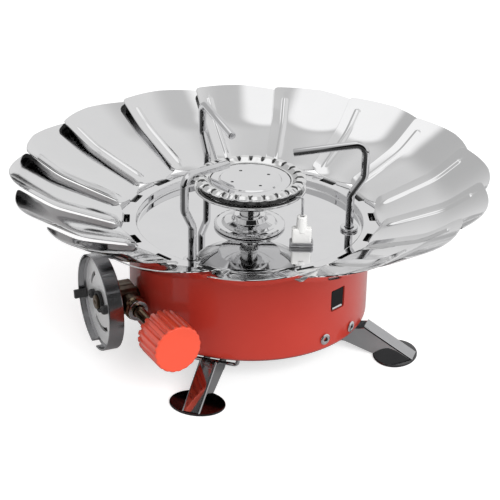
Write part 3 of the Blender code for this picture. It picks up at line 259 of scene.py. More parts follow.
def pillow(low: float, high: float, bevel: float, steps: int = 3) -> list[Pair]:
    """Return the (height, inset) levels of a block whose two rims are quarter rounds."""
    turns = np.linspace(0.0, math.pi / 2.0, steps + 1)
    rise = [(low, bevel * 1.5)]
    rise += [(low + bevel * (1.0 - math.cos(t)), bevel * (1.0 - math.sin(t))) for t in turns]
    return rise + [(high - (height - low), inset) for height, inset in reversed(rise)]


def lofted(outline: Outline, levels: Sequence[Pair], place: Place = Place()) -> Grid:
    """Stack an outline, drawn in by each level's inset, and close both ends at its middle."""
    rows = [raised(outline(inset), height) for height, inset in levels]
    ends = [np.broadcast_to(row[:-1].mean(axis=0), row.shape) for row in (rows[0], rows[-1])]
    return place.carry(np.stack((ends[0], *rows, ends[1])))


def box_outline(width: float, depth: float, corner: float, steps: int = 4) -> Outline:
    """Return the outline of a box with round corners, centred on the origin."""

    def outline(inset: float) -> np.ndarray:
        """Return the outline drawn in by an inset."""
        x, y = width / 2.0 - inset, depth / 2.0 - inset
        bend = max(corner - inset, corner * 0.3)
        return rounded(((x, -y), (x, y), (-x, y), (-x, -y)), bend, steps, closed=True)

    return outline


def holed(hole: np.ndarray, rim: np.ndarray, rings: int) -> np.ndarray:
    """Fill the flat between a hole's outline and a rim: p = hole + (rim - hole) s^1.4."""
    share = (np.linspace(0.0, 1.0, rings + 1) ** SPREAD)[:, None, None]
    return hole + (rim - hole) * share


def round_hole(half: Sequence[float], corner: float, rim: np.ndarray) -> np.ndarray:
    """Map a unit square's rim points to a hole with round corners.

    Args:
        half: the hole's half sizes.
        corner: the radius of its corners.
        rim: points on the square from -1 to 1.

    Returns:
        The same number of points, on the hole's outline.
    """
    spot = rim * np.asarray(half)
    core = np.clip(spot, -np.asarray(half) + corner, np.asarray(half) - corner)
    away = spot - core
    return core + corner * away / np.linalg.norm(away, axis=1)[:, None]


def square_rim(across: np.ndarray, up: np.ndarray) -> np.ndarray:
    """Return the points round a square, counter-clockwise from its low corner, closed."""
    low = np.column_stack((across, np.full(len(across), -1.0)))
    right = np.column_stack((np.full(len(up), 1.0), up))
    high = np.column_stack((across[::-1], np.full(len(across), 1.0)))
    left = np.column_stack((np.full(len(up), -1.0), up[::-1]))
    return np.vstack((low[:-1], right[:-1], high[:-1], left))


def pierced_ring(
    radii: np.ndarray,
    angles: np.ndarray,
    middles: Sequence[float],
    span: float,
    hole: Callable[[np.ndarray], np.ndarray],
    rings: int,
    height: float,
) -> list[Grid]:
    """Return the cells of a level ring that has one hole in each cell.

    A cell's rim point is (r cos a, r sin a), where r and a run evenly along the square's rim.

    Args:
        radii: the radii of the ring's rows.
        angles: the angles of its columns, through every cell's edges.
        middles: the cells' middle angles.
        span: half the angle of a cell.
        hole: makes a hole's outline of the square's rim, in the cell's own upright frame.
        rings: the rows of faces between a hole and its cell's rim.
        height: the ring's height.

    Returns:
        One grid for each cell.
    """
    half = (radii[-1] - radii[0]) / 2.0
    grids = []
    for middle in middles:
        columns = between(angles, middle - span, middle + span)
        rim = square_rim((radii - radii.mean()) / half, (columns - middle) / span)
        reach, turn = radii.mean() + rim[:, 0] * half, np.radians(rim[:, 1] * span)
        edge = np.column_stack((reach * np.cos(turn), reach * np.sin(turn)))
        grids.append(Place.upright(middle).carry(raised(holed(hole(rim), edge, rings), height)))
    return grids


def stops(marks: Sequence[float], step: float) -> np.ndarray:
    """Return numbers that pass through every mark, about a step apart."""
    spans = [np.linspace(a, b, max(1, math.ceil((b - a) / step - 1e-6)) + 1)[:-1]
             for a, b in zip(marks, marks[1:])]
    return np.concatenate([*spans, [marks[-1]]])


def between(numbers: np.ndarray, low: float, high: float) -> np.ndarray:
    """Return the numbers from low to high, ends included."""
    return numbers[(numbers > low - 1e-9) & (numbers < high + 1e-9)]


def weld_grids(
    mesh: bpy.types.Mesh, grids: Sequence[Grid], outward: Sequence[float] | None
) -> None:
    """Fill a mesh with grids, weld what they share and point the faces outwards.

    Args:
        mesh: the empty mesh.
        grids: arrays of rows by columns by three coordinates.
        outward: where an open sheet faces, or None for a closed body.
    """
    points, faces, count = [], [], 0
    for grid in grids:
        rows, columns = grid.shape[:2]
        index = count + np.arange(rows * columns).reshape(rows, columns)
        quads = np.stack((index[:-1, :-1], index[:-1, 1:], index[1:, 1:], index[1:, :-1]), -1)
        points.append(grid.reshape(-1, 3))
        faces.append(quads.reshape(-1, 4))
        count += rows * columns
    mesh.from_pydata(np.vstack(points), [], np.vstack(faces))
    work = bmesh.new()
    work.from_mesh(mesh)
    bmesh.ops.remove_doubles(work, verts=work.verts, dist=WELD)
    bmesh.ops.recalc_face_normals(work, faces=work.faces)
    if outward is not None:
        way = Vector(outward)
        if sum(face.calc_area() * face.normal.dot(way) for face in work.faces) < 0.0:
            bmesh.ops.reverse_faces(work, faces=work.faces)
    work.to_mesh(mesh)
    work.free()


def new_object(name: str, data: bpy.types.ID) -> bpy.types.Object:
    """Put a new object with its data into the scene."""
    thing = bpy.data.objects.new(name, data)
    bpy.context.scene.collection.objects.link(thing)
    return thing


# ---------------------------------------------------------------- finishes


def new_node(nodes: bpy.types.Nodes, kind: str, **values: object) -> bpy.types.Node:
    """Place a shader node and set its own properties."""
    node = nodes.new(f"ShaderNode{kind}")
    for label, value in values.items():
        setattr(node, label, value)
    return node


def number_node(nodes: bpy.types.Nodes, operation: str, second: float = 0.0) -> bpy.types.Node:
    """Place a number operation, with a value for its second input."""
    node = new_node(nodes, "Math", operation=operation)
    node.inputs[1].default_value = second
    return node


def ramp_node(
    nodes: bpy.types.Nodes, source: Pair, target: Pair, kind: str = "SMOOTHSTEP"
) -> bpy.types.Node:
    """Place a ramp from one range of numbers to another."""
    node = new_node(nodes, "MapRange", interpolation_type=kind)
    node.inputs["From Min"].default_value, node.inputs["From Max"].default_value = source
    node.inputs["To Min"].default_value, node.inputs["To Max"].default_value = target
    return node


def tone_node(nodes: bpy.types.Nodes, first: Three, second: Three) -> bpy.types.Node:
    """Place a mix of two colours."""
    node = new_node(nodes, "Mix", data_type="RGBA")
    node.inputs["A"].default_value = (*first, 1.0)
    node.inputs["B"].default_value = (*second, 1.0)
    return node


def wire(links: bpy.types.NodeLinks, *joins: tuple) -> None:
    """Link each (node, output, node, input)."""
    for source, output, target, entry in joins:
        links.new(source.outputs[output], target.inputs[entry])


class Matter(Enum):
    """What a finish is made of, as its share of metal."""

    METAL = 1.0
    HALF_METAL = 0.45
    PLAIN = 0.0


class Effects:
    """Shared effects of the finishes, each a node group that is built once."""

    def __init__(self) -> None:
        """Build every group."""
        self.smudge = self.build_noise("handling_smudges", 3.0, 0.62)
        self.grain = self.build_noise("fine_grain", 2.0, 0.5)

    @staticmethod
    def build_noise(name: str, detail: float, rough: float) -> bpy.types.NodeTree:
        """Return a group that puts out cloudy noise of a scale, as a mask."""
        group = bpy.data.node_groups.new(name, "ShaderNodeTree")
        for label, value in (("Scale", 60.0), ("Contrast", 1.0)):
            socket = group.interface.new_socket(label, in_out="INPUT",
                                                socket_type="NodeSocketFloat")
            socket.default_value = value
        group.interface.new_socket("Mask", in_out="OUTPUT", socket_type="NodeSocketFloat")
        nodes = group.nodes
        entry, leave = nodes.new("NodeGroupInput"), nodes.new("NodeGroupOutput")
        place = new_node(nodes, "TexCoord")
        noise = new_node(nodes, "TexNoise")
        noise.inputs["Detail"].default_value = detail
        noise.inputs["Roughness"].default_value = rough
        centred = number_node(nodes, "SUBTRACT", 0.5)
        spread = number_node(nodes, "MULTIPLY_ADD")
        spread.inputs[2].default_value = 0.5
        spread.use_clamp = True
        wire(group.links, (place, "Object", noise, "Vector"), (entry, "Scale", noise, "Scale"),
             (noise, "Fac", centred, 0), (centred, 0, spread, 0), (entry, "Contrast", spread, 1),
             (spread, 0, leave, "Mask"))
        return group


@dataclass(frozen=True)
class Finish:
    """One finish of the stove, from which its material is made.

    Attributes:
        name: what the material is called.
        slot: the name of the slot that it belongs to; not used in this script.
        tone: the base colour.
        worn: the colour under smudges and wear.
        shine: roughness where clean, then where smudged.
        matter: what it is made of.
        smudge: scale and contrast of the smudges.
        grain: scale of the fine relief, and its depth in metres.
        coat: weight and roughness of a clear coat.
        shaded: whether a vertex mask paints shade black onto part of the surface.
        specular: the shader's specular level.
        shade_colour: the colour of the painted shade where the mask is full.
        matt_from: how full the mask is where the metal begins to turn matt.
    """

    name: str
    slot: str
    tone: Three
    worn: Three
    shine: Pair = (0.08, 0.16)
    matter: Matter = Matter.METAL
    smudge: Pair = (70.0, 1.6)
    grain: Pair = (1800.0, 0.0)
    coat: Pair = (0.0, 0.03)
    shaded: bool = False
    specular: float = 0.5
    shade_colour: Three = (0.004, 0.004, 0.004)
    matt_from: float = 0.9

    def build(self, effects: Effects) -> bpy.types.Material:
        """Make the material.

        Args:
            effects: the shared node groups.

        Returns:
            The material, whose noises read Object coordinates.
        """
        surface = bpy.data.materials.new(self.name)
        surface.use_nodes = True
        nodes, links = surface.node_tree.nodes, surface.node_tree.links
        shader = nodes["Principled BSDF"]
        for label, value in (("Metallic", self.matter.value), ("Coat Weight", self.coat[0]),
                             ("Coat Roughness", self.coat[1]),
                             ("Specular IOR Level", self.specular)):
            shader.inputs[label].default_value = value
        smudge = self.group(nodes, effects.smudge, Scale=self.smudge[0], Contrast=self.smudge[1])
        tint = tone_node(nodes, self.tone, self.worn)
        gloss = ramp_node(nodes, (0.0, 1.0), self.shine, "LINEAR")
        wire(links, (smudge, "Mask", tint, "Factor"), (smudge, "Mask", gloss, "Value"),
             (gloss, "Result", shader, "Roughness"))
        # the vertex mask paints shade: it tints the colour towards black and turns metal matt
        if self.shaded:
            mask = new_node(nodes, "Attribute", attribute_name="shade")
            shade_tint = tone_node(nodes, self.tone, self.shade_colour)
            dull = ramp_node(nodes, (self.matt_from, 1.0), (self.matter.value, 0.0), "LINEAR")
            wire(links, (mask, "Fac", shade_tint, "Factor"), (tint, "Result", shade_tint, "A"),
                 (mask, "Fac", dull, "Value"), (dull, "Result", shader, "Metallic"))
            tint = shade_tint
        wire(links, (tint, "Result", shader, "Base Color"))
        if self.grain[1] > 0.0:
            grain = self.group(nodes, effects.grain, Scale=self.grain[0], Contrast=1.0)
            bump = new_node(nodes, "Bump")
            bump.inputs["Strength"].default_value = 1.0
            bump.inputs["Distance"].default_value = self.grain[1]
            wire(links, (grain, "Mask", bump, "Height"), (bump, "Normal", shader, "Normal"))
        return surface

    @staticmethod
    def group(
        nodes: bpy.types.Nodes, tree: bpy.types.NodeTree, **values: float
    ) -> bpy.types.Node:
        """Place a shared group with its own values."""
        node = new_node(nodes, "Group", node_tree=tree)
        for label, value in values.items():
            node.inputs[label].default_value = value
        return node


class Finishes:
    """The stove's finishes, each made into a material when it is first used."""

    RED = Finish("red_enamel", "red_paint", (0.50, 0.046, 0.030), (0.46, 0.038, 0.025),
                 (0.30, 0.38), Matter.PLAIN, (45.0, 1.2), (1400.0, 6e-6), (0.7, 0.03),
                 shaded=True, specular=0.2)
    MIRROR = Finish("mirror_chrome", "chrome_plate", (0.83, 0.83, 0.835), (0.79, 0.79, 0.80),
                    (0.012, 0.03))
    PETAL = Finish("petal_chrome", "petal_chrome", (0.84, 0.84, 0.845), (0.80, 0.80, 0.805),
                   (0.05, 0.10), smudge=(35.0, 1.4), shaded=True)
    ROD = Finish("rod_chrome", "rod_chrome", (0.72, 0.72, 0.73), (0.66, 0.66, 0.67),
                 (0.03, 0.08), shaded=True)
    # dark reflection, and a paler, half-metal one for the web, which paints it as lit
    # two copies of the plate chrome for the flange: a darker one for the band, which paints in its
    CUP = Finish("flange_chrome", "chrome_plate", (0.40, 0.40, 0.41), (0.34, 0.34, 0.35),
                 (0.10, 0.22))
    WEB = Finish("web_chrome", "chrome_plate", (0.93, 0.93, 0.93), (0.86, 0.86, 0.86),
                 (0.26, 0.36), Matter.HALF_METAL)
    LEG = Finish("leg_chrome", "leg_chrome", (0.52, 0.52, 0.53), (0.45, 0.45, 0.46),
                 (0.05, 0.12), shaded=True)
    BURNER = Finish("burner_steel", "burner_steel", (0.86, 0.86, 0.86), (0.80, 0.80, 0.80),
                    (0.04, 0.10), shaded=True)
    SATIN = Finish("satin_steel", "bright_steel", (0.66, 0.66, 0.67), (0.52, 0.52, 0.53),
                   (0.30, 0.42))
    BRIGHT = Finish("bright_steel", "bright_steel", (0.80, 0.80, 0.81), (0.72, 0.72, 0.73),
                    (0.08, 0.18), shaded=True)
    DARK = Finish("black_steel", "black_steel", (0.030, 0.030, 0.032), (0.05, 0.05, 0.05),
                  (0.28, 0.42), Matter.PLAIN, grain=(2500.0, 4e-6))
    VALVE = Finish("valve_bronze", "valve_brass", (0.21, 0.165, 0.12), (0.11, 0.085, 0.06),
                   (0.30, 0.48), smudge=(260.0, 2.4), grain=(1200.0, 1.6e-5))
    BRASS = Finish("spindle_brass", "brass", (0.46, 0.36, 0.24), (0.30, 0.23, 0.15),
                   (0.16, 0.30), grain=(2500.0, 3e-6))
    CORAL = Finish("coral_plastic", "coral_plastic", (0.92, 0.100, 0.048), (0.88, 0.088, 0.040),
                   (0.26, 0.34), Matter.PLAIN, (90.0, 1.0), (3200.0, 5e-6), (0.8, 0.10),
                   specular=0.6)
    BLACK = Finish("black_plastic", "black_plastic", (0.008, 0.008, 0.009),
                   (0.012, 0.012, 0.012), (0.45, 0.6), Matter.PLAIN, grain=(3000.0, 8e-6),
                   specular=0.15)
    RUBBER = Finish("seal_rubber", "rubber", (0.014, 0.014, 0.014), (0.03, 0.03, 0.03),
                    (0.55, 0.7), Matter.PLAIN, grain=(3000.0, 1e-5))
    CERAMIC = Finish("white_porcelain", "ceramic", (0.88, 0.88, 0.87), (0.84, 0.83, 0.81),
                     (0.16, 0.24), Matter.PLAIN, (200.0, 1.0), (1500.0, 5e-6), (0.4, 0.05))
    LEAD = Finish("lead_sleeve", "lead_sleeve", (0.70, 0.69, 0.64), (0.58, 0.57, 0.52),
                  (0.5, 0.6), Matter.PLAIN, grain=(2500.0, 1e-5))

    def __init__(self) -> None:
        """Build the shared effects."""
        self.effects = Effects()
        self.made: dict[str, bpy.types.Material] = {}

    def material(self, finish: Finish) -> bpy.types.Material:
        """Return the finish's material, made once."""
        if finish.name not in self.made:
            self.made[finish.name] = finish.build(self.effects)
        return self.made[finish.name]


@dataclass
class Workshop:
    """Makes pieces, dresses them and puts them on the bodies they move with.

    Attributes:
        finishes: the materials.
        count: how many pieces there are so far.
    """

    finishes: Finishes = field(default_factory=Finishes)
    count: int = 0

    def piece(
        self,
        name: str,
        grids: Sequence[Grid],
        finish: Finish,
        body: str | None,
        nodes: Sequence[str],
        sheet: float = 0.0,
        outward: Sequence[float] | None = None,
        crease: float = 40.0,
        shade: Shade | None = None,
    ) -> bpy.types.Object:
        """Make one piece.

        Args:
            name: the object's name.
            grids: the surfaces that it is welded from.
            finish: its finish.
            body: the body that it moves with, or None where it stretches between two.
            nodes: the solids that it stands for.
            sheet: a wall's thickness, added behind an open sheet.
            outward: where an open sheet faces.
            crease: the angle past which an edge is sharp.
            shade: painted shade, how black each vertex is, from 0 to 1, by its place and normal.

        Returns:
            The finished object, at the origin, with its place in its mesh.
        """
        mesh = bpy.data.meshes.new(name)
        weld_grids(mesh, grids, outward)
        thing = new_object(name, mesh)
        if sheet:
            self.thicken(thing, sheet)
        thing.data.shade_smooth()
        thing.data.set_sharp_from_angle(angle=math.radians(crease))
        thing.data.materials.clear()
        thing.data.materials.append(self.finishes.material(finish))
        if shade:
            vertices = thing.data.vertices
            place, normal = (np.empty(len(vertices) * 3, np.float32) for _ in range(2))
            vertices.foreach_get("co", place)
            vertices.foreach_get("normal", normal)
            mask = thing.data.attributes.new("shade", "FLOAT", "POINT")
            blacks = shade(place.reshape(-1, 3), normal.reshape(-1, 3))
            mask.data.foreach_set("value", blacks.astype(np.float32))
        if body:
            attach(thing, body)
        if nodes:
            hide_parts(*nodes)
        self.count += 1
        LOG.info("%s: %d faces on %s", name, len(thing.data.polygons), body or "two bodies")
        return thing

    @staticmethod
    def thicken(thing: bpy.types.Object, sheet: float) -> None:
        """Give an open sheet its thickness, on the side that it doesn't face."""
        flat, name = thing.data, thing.name
        wall = thing.modifiers.new("wall", "SOLIDIFY")
        wall.thickness = sheet
        wall.offset = -1.0
        wall.use_even_offset = True
        view = bpy.context.evaluated_depsgraph_get()
        thick = bpy.data.meshes.new_from_object(thing.evaluated_get(view), depsgraph=view)
        thing.modifiers.clear()
        thing.data = thick
        bpy.data.meshes.remove(flat)
        thick.name = name

    def dress(self, node: str, finish: Finish) -> None:
        """Give a solid that stays its finish."""
        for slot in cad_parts[node].material_slots:
            slot.link = "OBJECT"
            slot.material = self.finishes.material(finish)
        LOG.info("%s: solid kept", node)


# ---------------------------------------------------------------- drum and plate


def slot_hole(circle: float, half: Pair, corner: float) -> Callable[[np.ndarray], np.ndarray]:
    """Return what maps a cell's square rim to a slot at a radius."""
    return lambda rim: round_hole(half, corner, rim) + (circle, 0.0)


@dataclass
class Drum:
    """The red drum: a deep-drawn cup with a window, vents underneath and a turned-in rim."""

    radius: float = 0.0575
    wall: float = 0.0010
    base: float = 0.0134
    corner: float = 0.0030
    top: float = 0.0568
    rim_width: float = 0.0024
    rim_bend: float = 0.0006
    vent_radius: float = 0.0070
    slots: int = 6
    slot_circle: float = 0.0270
    slot_half: Pair = (0.0070, 0.0020)
    slot_corner: float = 0.0018
    slot_first: float = -107.0
    slot_band: Pair = (0.0170, 0.0370)
    # a black ring under the plate's slotted ring: painted shade, standing in for the dark seen
    # through the slots
    shade_ring: tuple[Pair, ...] = ((0.0550, 0.05683), (0.0606, 0.05683), (0.0617, 0.0589),
                                (0.0611, 0.0589), (0.0603, 0.05718), (0.0550, 0.05718))
    window_angle: float = -43.9
    window_half: Pair = (0.0046, 0.0054)
    window_corner: float = 0.0006
    window_centre: float = 0.0384
    window_reach: float = 10.0
    window_band: Pair = (0.0280, 0.0490)
    column: float = 2.0
    row: float = 0.0030
    # painted shade on the underside: how black, up to what height, how softly
    shadow: Three = (0.96, 0.0150, 0.0010)

    def angles(self) -> np.ndarray:
        """Return the angles of the drum's columns, through every edge of a pattern."""
        pitch = 360.0 / self.slots
        marks = {self.slot_first + pitch * index for index in range(self.slots + 1)}
        marks |= {self.window_angle + way * self.window_reach for way in (-1.0, 1.0)}
        return stops(sorted(marks), self.column)

    def wall_grids(self, angles: np.ndarray) -> list[Grid]:
        """Return the upright wall, with the window's opening cut in its own patch."""
        low, high = self.window_band
        start, end = self.window_angle - self.window_reach, self.window_angle + self.window_reach
        heights = stops((self.base + self.corner, low, high, self.top - self.rim_bend), self.row)
        middle = between(heights, low, high)
        bands = ((angles, between(heights, heights[0], low)),
                 (angles, between(heights, high, heights[-1])),
                 (between(angles, angles[0], start), middle),
                 (between(angles, end, angles[-1]), middle))
        wall = [turned(np.column_stack((np.full(len(rows), self.radius), rows)), columns)
                for columns, rows in bands]
        centre, half = (low + high) / 2.0, (high - low) / 2.0
        columns = between(angles, start, end)
        rim = square_rim((columns - self.window_angle) / self.window_reach,
                         (middle - centre) / half)
        patch = rim * (math.radians(self.window_reach) * self.radius, half) + (0.0, centre)
        hole = round_hole(self.window_half, self.window_corner, rim) + (0.0, self.window_centre)
        flat = holed(hole, patch, 10)
        turn = math.radians(self.window_angle) + flat[..., 0] / self.radius
        wall.append(np.stack((self.radius * np.cos(turn), self.radius * np.sin(turn),
                              flat[..., 1]), -1))
        return wall

    def floor_grids(self, angles: np.ndarray) -> list[Grid]:
        """Return the drum's underside, with its six radial vents."""
        inner, outer = self.slot_band
        half = 180.0 / self.slots
        middles = [self.slot_first + half * (2 * index + 1) for index in range(self.slots)]
        rings = ((self.vent_radius, inner), (outer, self.radius - self.corner))
        return [*(turned(level_line(np.linspace(*ring, 5), self.base), angles) for ring in rings),
                *pierced_ring(np.linspace(inner, outer, 9), angles, middles, half,
                              slot_hole(self.slot_circle, self.slot_half, self.slot_corner),
                              5, self.base)]

    def build(self, shop: Workshop) -> None:
        """Make the drum's shell."""
        angles = self.angles()
        corner = arc((self.radius - self.corner, self.base + self.corner), self.corner,
                     -90.0, 0.0, 8)
        lip = arc((self.radius - self.rim_bend, self.top - self.rim_bend), self.rim_bend,
                  0.0, 90.0, 4)
        lip = np.vstack((lip, (self.radius - self.rim_width, self.top)))
        grids = [*self.wall_grids(angles), *self.floor_grids(angles), turned(corner, angles),
                 turned(lip, angles)]
        shop.piece("drum_skin", grids, Finishes.RED, "stove", ["drum_shell"], self.wall,
                   (0.0, 0.0, -1.0), shade=self.base_shade)
        # the black ring under the slots is painted shade, not a part of the stove
        shop.piece("rim_shade_ring", [lathe(self.shade_ring, 0.0001, 144, 2)], Finishes.BLACK, "stove",
                   ["drum_shell"])

    def base_shade(self, point: np.ndarray, normal: np.ndarray) -> np.ndarray:
        """Paint shade on the underside, darkening it up to a height above the base."""
        black, height, soft = self.shadow
        return black * fade(point[:, 2], height, -soft)


@dataclass
class TopPlate:
    """The bright top plate: a sunk floor, a step up and a ring with sixteen slots."""

    mouth: float = 0.0095
    floor: float = 0.0560
    ring: float = 0.0600
    step: float = 0.0540
    bend: float = 0.0009
    edge: float = 0.0640
    bevel: Pair = (0.0003, 0.00015)
    sheet: float = 0.0008
    slots: int = 16
    first: float = 3.5
    slot_band: Pair = (0.0556, 0.0624)
    slot_span: Pair = (0.05701, 0.06053)
    slot_half_width: float = 0.0044
    slot_corner: float = 0.0004

    def build(self, shop: Workshop) -> None:
        """Make the plate."""
        pitch = 360.0 / self.slots
        middles = [self.first + pitch * index for index in range(self.slots)]
        marks = [middle - pitch / 2.0 for middle in (*middles, middles[0] + 360.0)]
        angles = stops(marks, pitch / 10.0)
        (inner, outer), (low, high) = self.slot_band, self.slot_span
        corners = ((self.mouth, self.floor), (self.step, self.floor), (self.step, self.ring),
                   (inner, self.ring))
        well = rounded(corners, self.bend, 5)
        flat = level_line(np.linspace(self.mouth, self.step * 0.95, 12)[1:], self.floor)
        well = np.vstack((well[:1], flat, well[1:]))
        rim = np.array(((outer, self.ring), (self.edge - self.bevel[0], self.ring),
                        (self.edge, self.ring - self.bevel[1])))
        hole = slot_hole((low + high) / 2.0, ((high - low) / 2.0, self.slot_half_width),
                         self.slot_corner)
        grids = [turned(well, angles), turned(rim, angles),
                 *pierced_ring(np.linspace(inner, outer, 7), angles, middles, pitch / 2.0, hole,
                               4, self.ring)]
        shop.piece("plate_skin", grids, Finishes.MIRROR, "stove", ["top_plate"], self.sheet, UP)


# ---------------------------------------------------------------- windshield


@dataclass
class Petals:
    """The windshield: pressed petals, each hinged in its slot and lapping its neighbour.

    The widths are those of the neck, the shoulders and the tip. A rib is pressed beside the
    lapping edge. The lap fields say where shade is painted black on the underside along that edge:
    from where and over what length it starts, its width at the start and what it gains, its
    softness, and how far down a face must look. The stretch is a distance along the blade over one
    outwards. The root holds how far out the hooked root's painted shade reaches, and its softness.
    """

    count: int = 16
    first: float = 3.5
    hinge: Pair = (0.0588, 0.0581)
    sheet: float = 0.0005
    blade: float = 0.0580
    neck: float = 0.0032
    neck_slope: float = 60.0
    neck_bend: float = 0.0009
    slopes: Pair = (19.0, 33.0)
    lip_start: float = 0.58
    lip_blend: float = 0.12
    widths: Three = (0.0080, 0.0268, 0.0480)
    shoulder: float = 0.0030
    tip_bow: float = 0.0047
    tip_corner: float = 0.0042
    cup_radius: float = 0.0700
    cup_start: float = 0.0040
    cup_growth: Pair = (0.75, 0.1)
    tilt: float = 0.070
    rib_height: float = 0.0009
    rib_inset: float = 0.0058
    rib_half_width: float = 0.0018
    rib_span: Pair = (0.0030, 0.0500)
    rib_fade: float = 0.005
    rib_close: float = 0.002
    bar: Pair = (0.0008, 0.0055)
    lap_start: Pair = (0.028, 0.018)
    lap_width: Pair = (0.0015, 0.0065)
    lap_soft: float = 0.001
    lap_below: float = -0.3
    stretch: float = 1.12
    root: Pair = (0.0012, 0.0004)
    nudge: float = 1e-4

    def middle_line(self) -> tuple[np.ndarray, np.ndarray, np.ndarray]:
        """Follow the petal's middle from its hinge outwards.

        Returns:
            The distances along it from the blade's root, negative on the neck, and the line's
            (out, up), which are the running sums of cos and sin of the slope.
        """
        travel = np.linspace(-self.neck, self.blade, 900)
        share = travel / self.blade - self.lip_start
        lip = smooth((share + self.lip_blend) / (2.0 * self.lip_blend))
        slope = self.slopes[0] + (self.slopes[1] - self.slopes[0]) * lip
        bend = smooth((travel + self.neck_bend) / (2.0 * self.neck_bend))
        slope = np.radians(self.neck_slope + (slope - self.neck_slope) * bend)
        step = travel[1] - travel[0]
        out, up = (np.concatenate(([0.0], np.cumsum((rate[1:] + rate[:-1]) / 2.0 * step)))
                   for rate in (np.cos(slope), np.sin(slope)))
        return travel, out, up

    def half_width(self, travel: np.ndarray) -> np.ndarray:
        """Return half the petal's width at distances along it."""
        neck, root, tip = (width / 2.0 for width in self.widths)
        rise = np.sin(np.clip(travel / self.shoulder, 0.0, 1.0) * math.pi / 2.0)
        spread = np.clip((travel - self.shoulder) / (self.blade - self.shoulder), 0.0, 1.0)
        left = np.clip(travel - self.blade + self.tip_corner, 0.0, self.tip_corner)
        corner = self.tip_corner * (1.0 - np.sqrt(1.0 - (left / self.tip_corner) ** 2))
        return neck + (root - neck) * rise + (tip - root) * spread - corner

    def lift(self, travel: np.ndarray, across: np.ndarray, half: np.ndarray) -> np.ndarray:
        """Return how far the sheet stands off its middle line.

        It is g (a^2 / 2R + k a) for the cup and its tilt, g growing from 0 to 1 near the root,
        plus a rib h cos^2 of its own width beside the lapping edge.
        """
        growth = smooth(travel / self.cup_start * self.cup_growth[0] + self.cup_growth[1])
        cup = across**2 / (2.0 * self.cup_radius) + self.tilt * across
        start, end = self.rib_span
        fade = np.clip((travel - start) / self.rib_fade, 0.0, 1.0)
        near_end = np.clip((end - travel) / self.rib_half_width, 0.0, 1.0)
        round_end = np.sqrt(np.clip(1.0 - (1.0 - near_end) ** 2, 1e-6, 1.0))
        off = np.abs(across - (half - self.rib_inset)) / (self.rib_half_width * round_end)
        rib = np.cos(np.clip(off, 0.0, 1.0) * math.pi / 2.0) ** 2
        return growth * cup + self.rib_height * rib * smooth(fade) * smooth(near_end * 1.5)

    def surface(self, rows: np.ndarray, shares: np.ndarray) -> Grid:
        """Return the middle surface on a grid of distances by shares of the half width.

        A point is (out, across, up) of the middle line at its distance less a bow, plus the
        lift along the line's normal, which is (-rise, 0, run) of a short step along it.
        """
        travel, out, up = self.middle_line()

        def spot(distance: np.ndarray) -> np.ndarray:
            """Return the middle line's (out, up) at distances along it."""
            line = (np.interp(distance, travel, out), np.interp(distance, travel, up))
            return np.stack(line, -1)

        whole = self.half_width(np.minimum(rows, self.blade - self.tip_corner))[:, None]
        across = self.half_width(rows)[:, None] * shares
        reach = np.clip(rows / self.blade, 0.0, 1.0)[:, None]
        along = rows[:, None] - self.tip_bow * shares**2 * reach**2
        line = spot(along)
        place = np.stack((line[..., 0], across, line[..., 1]), -1)
        slope = unit(spot(along + self.nudge) - spot(along - self.nudge))
        away = np.stack((-slope[..., 1], 0.0 * across, slope[..., 0]), -1)
        return place + away * self.lift(np.maximum(rows, 0.0)[:, None], across, whole)[..., None]

    def solid(self) -> Grid:
        """Wrap the middle surface in a sheet of even thickness with round edges.

        A point is m + t/2 (cos p n + sin p e), with n the normal and e the way out of the
        edge; p runs from 0 to 180 degrees round each side edge, and the two ends close.
        """
        rib_end = self.rib_span[1]
        spans = ((-self.neck, 0.0, 9), (0.0, self.shoulder, 12),
                 (self.shoulder, rib_end - self.rib_close, 34),
                 (rib_end - self.rib_close, rib_end, 8))
        tip = 1.0 - np.sin(np.linspace(0.0, math.pi / 2.0, 9))
        rows = np.unique(np.concatenate((*(np.linspace(*span) for span in spans),
                                         self.blade - self.tip_corner * tip)))
        rib = 0.86 - self.rib_inset / self.half_width(np.array([self.blade * 0.5]))[0]
        shares = np.unique(np.concatenate((np.linspace(-1.0, rib, 26), np.linspace(rib, 1.0, 34))))
        middle = self.surface(rows, shares)
        along, across = np.gradient(middle, axis=0), np.gradient(middle, axis=1)
        normal, along, across = unit(np.cross(along, across)), unit(along), unit(across)
        half = self.sheet / 2.0
        turn = np.radians((45.0, 90.0, 135.0))[None, :, None]

        def edge(column: slice, way: float) -> Grid:
            """Return the half round of one side edge."""
            up, out = normal[:, column], across[:, column] * way
            return middle[:, column] + half * (np.cos(turn) * up + np.sin(turn) * out)

        def lapped(row: np.ndarray) -> np.ndarray:
            """Return a row's points in the order of the shell's columns."""
            return np.concatenate((row, np.repeat(row[-1:], 3, 0), row[::-1],
                                   np.repeat(row[:1], 4, 0)))

        def end(index: int, way: float) -> Grid:
            """Return the rows that close one end, from the shell's row inwards."""
            core, push = lapped(middle[index]), lapped(along[index])
            return np.stack([core + (shell[index] - core) * math.cos(t)
                             + push * (way * half * math.sin(t)) for t in np.radians((45.0, 90.0))])

        over, under = middle + half * normal, middle - half * normal
        shell = np.concatenate((over, edge(slice(-1, None), 1.0), under[:, ::-1],
                                edge(slice(0, 1), -1.0)[:, ::-1], over[:, :1]), axis=1)
        return np.concatenate((end(0, -1.0)[::-1], shell, end(-1, 1.0)))

    def build(self, shop: Workshop) -> None:
        """Make the ring of petals, each with the rolled bar that hooks it under the ring."""
        radius, half = self.bar
        blade = self.solid()
        bar = rod(np.linspace((0.0, -half, 0.0), (0.0, half, 0.0), 5), radius, UP, sides=14)
        for index in range(self.count):
            name = f"petal_{index + 1:02d}"
            place = Place.upright(self.first + index * 360.0 / self.count, *self.hinge)
            shop.piece(f"{name}_blade", [place.carry(blade), place.carry(bar)], Finishes.PETAL,
                       name, [name], shade=self.lap_shade(place))

    def lap_shade(self, place: Place) -> Shade:
        """Return a petal's painted shade, black on its hooked root and under its lapping edge."""

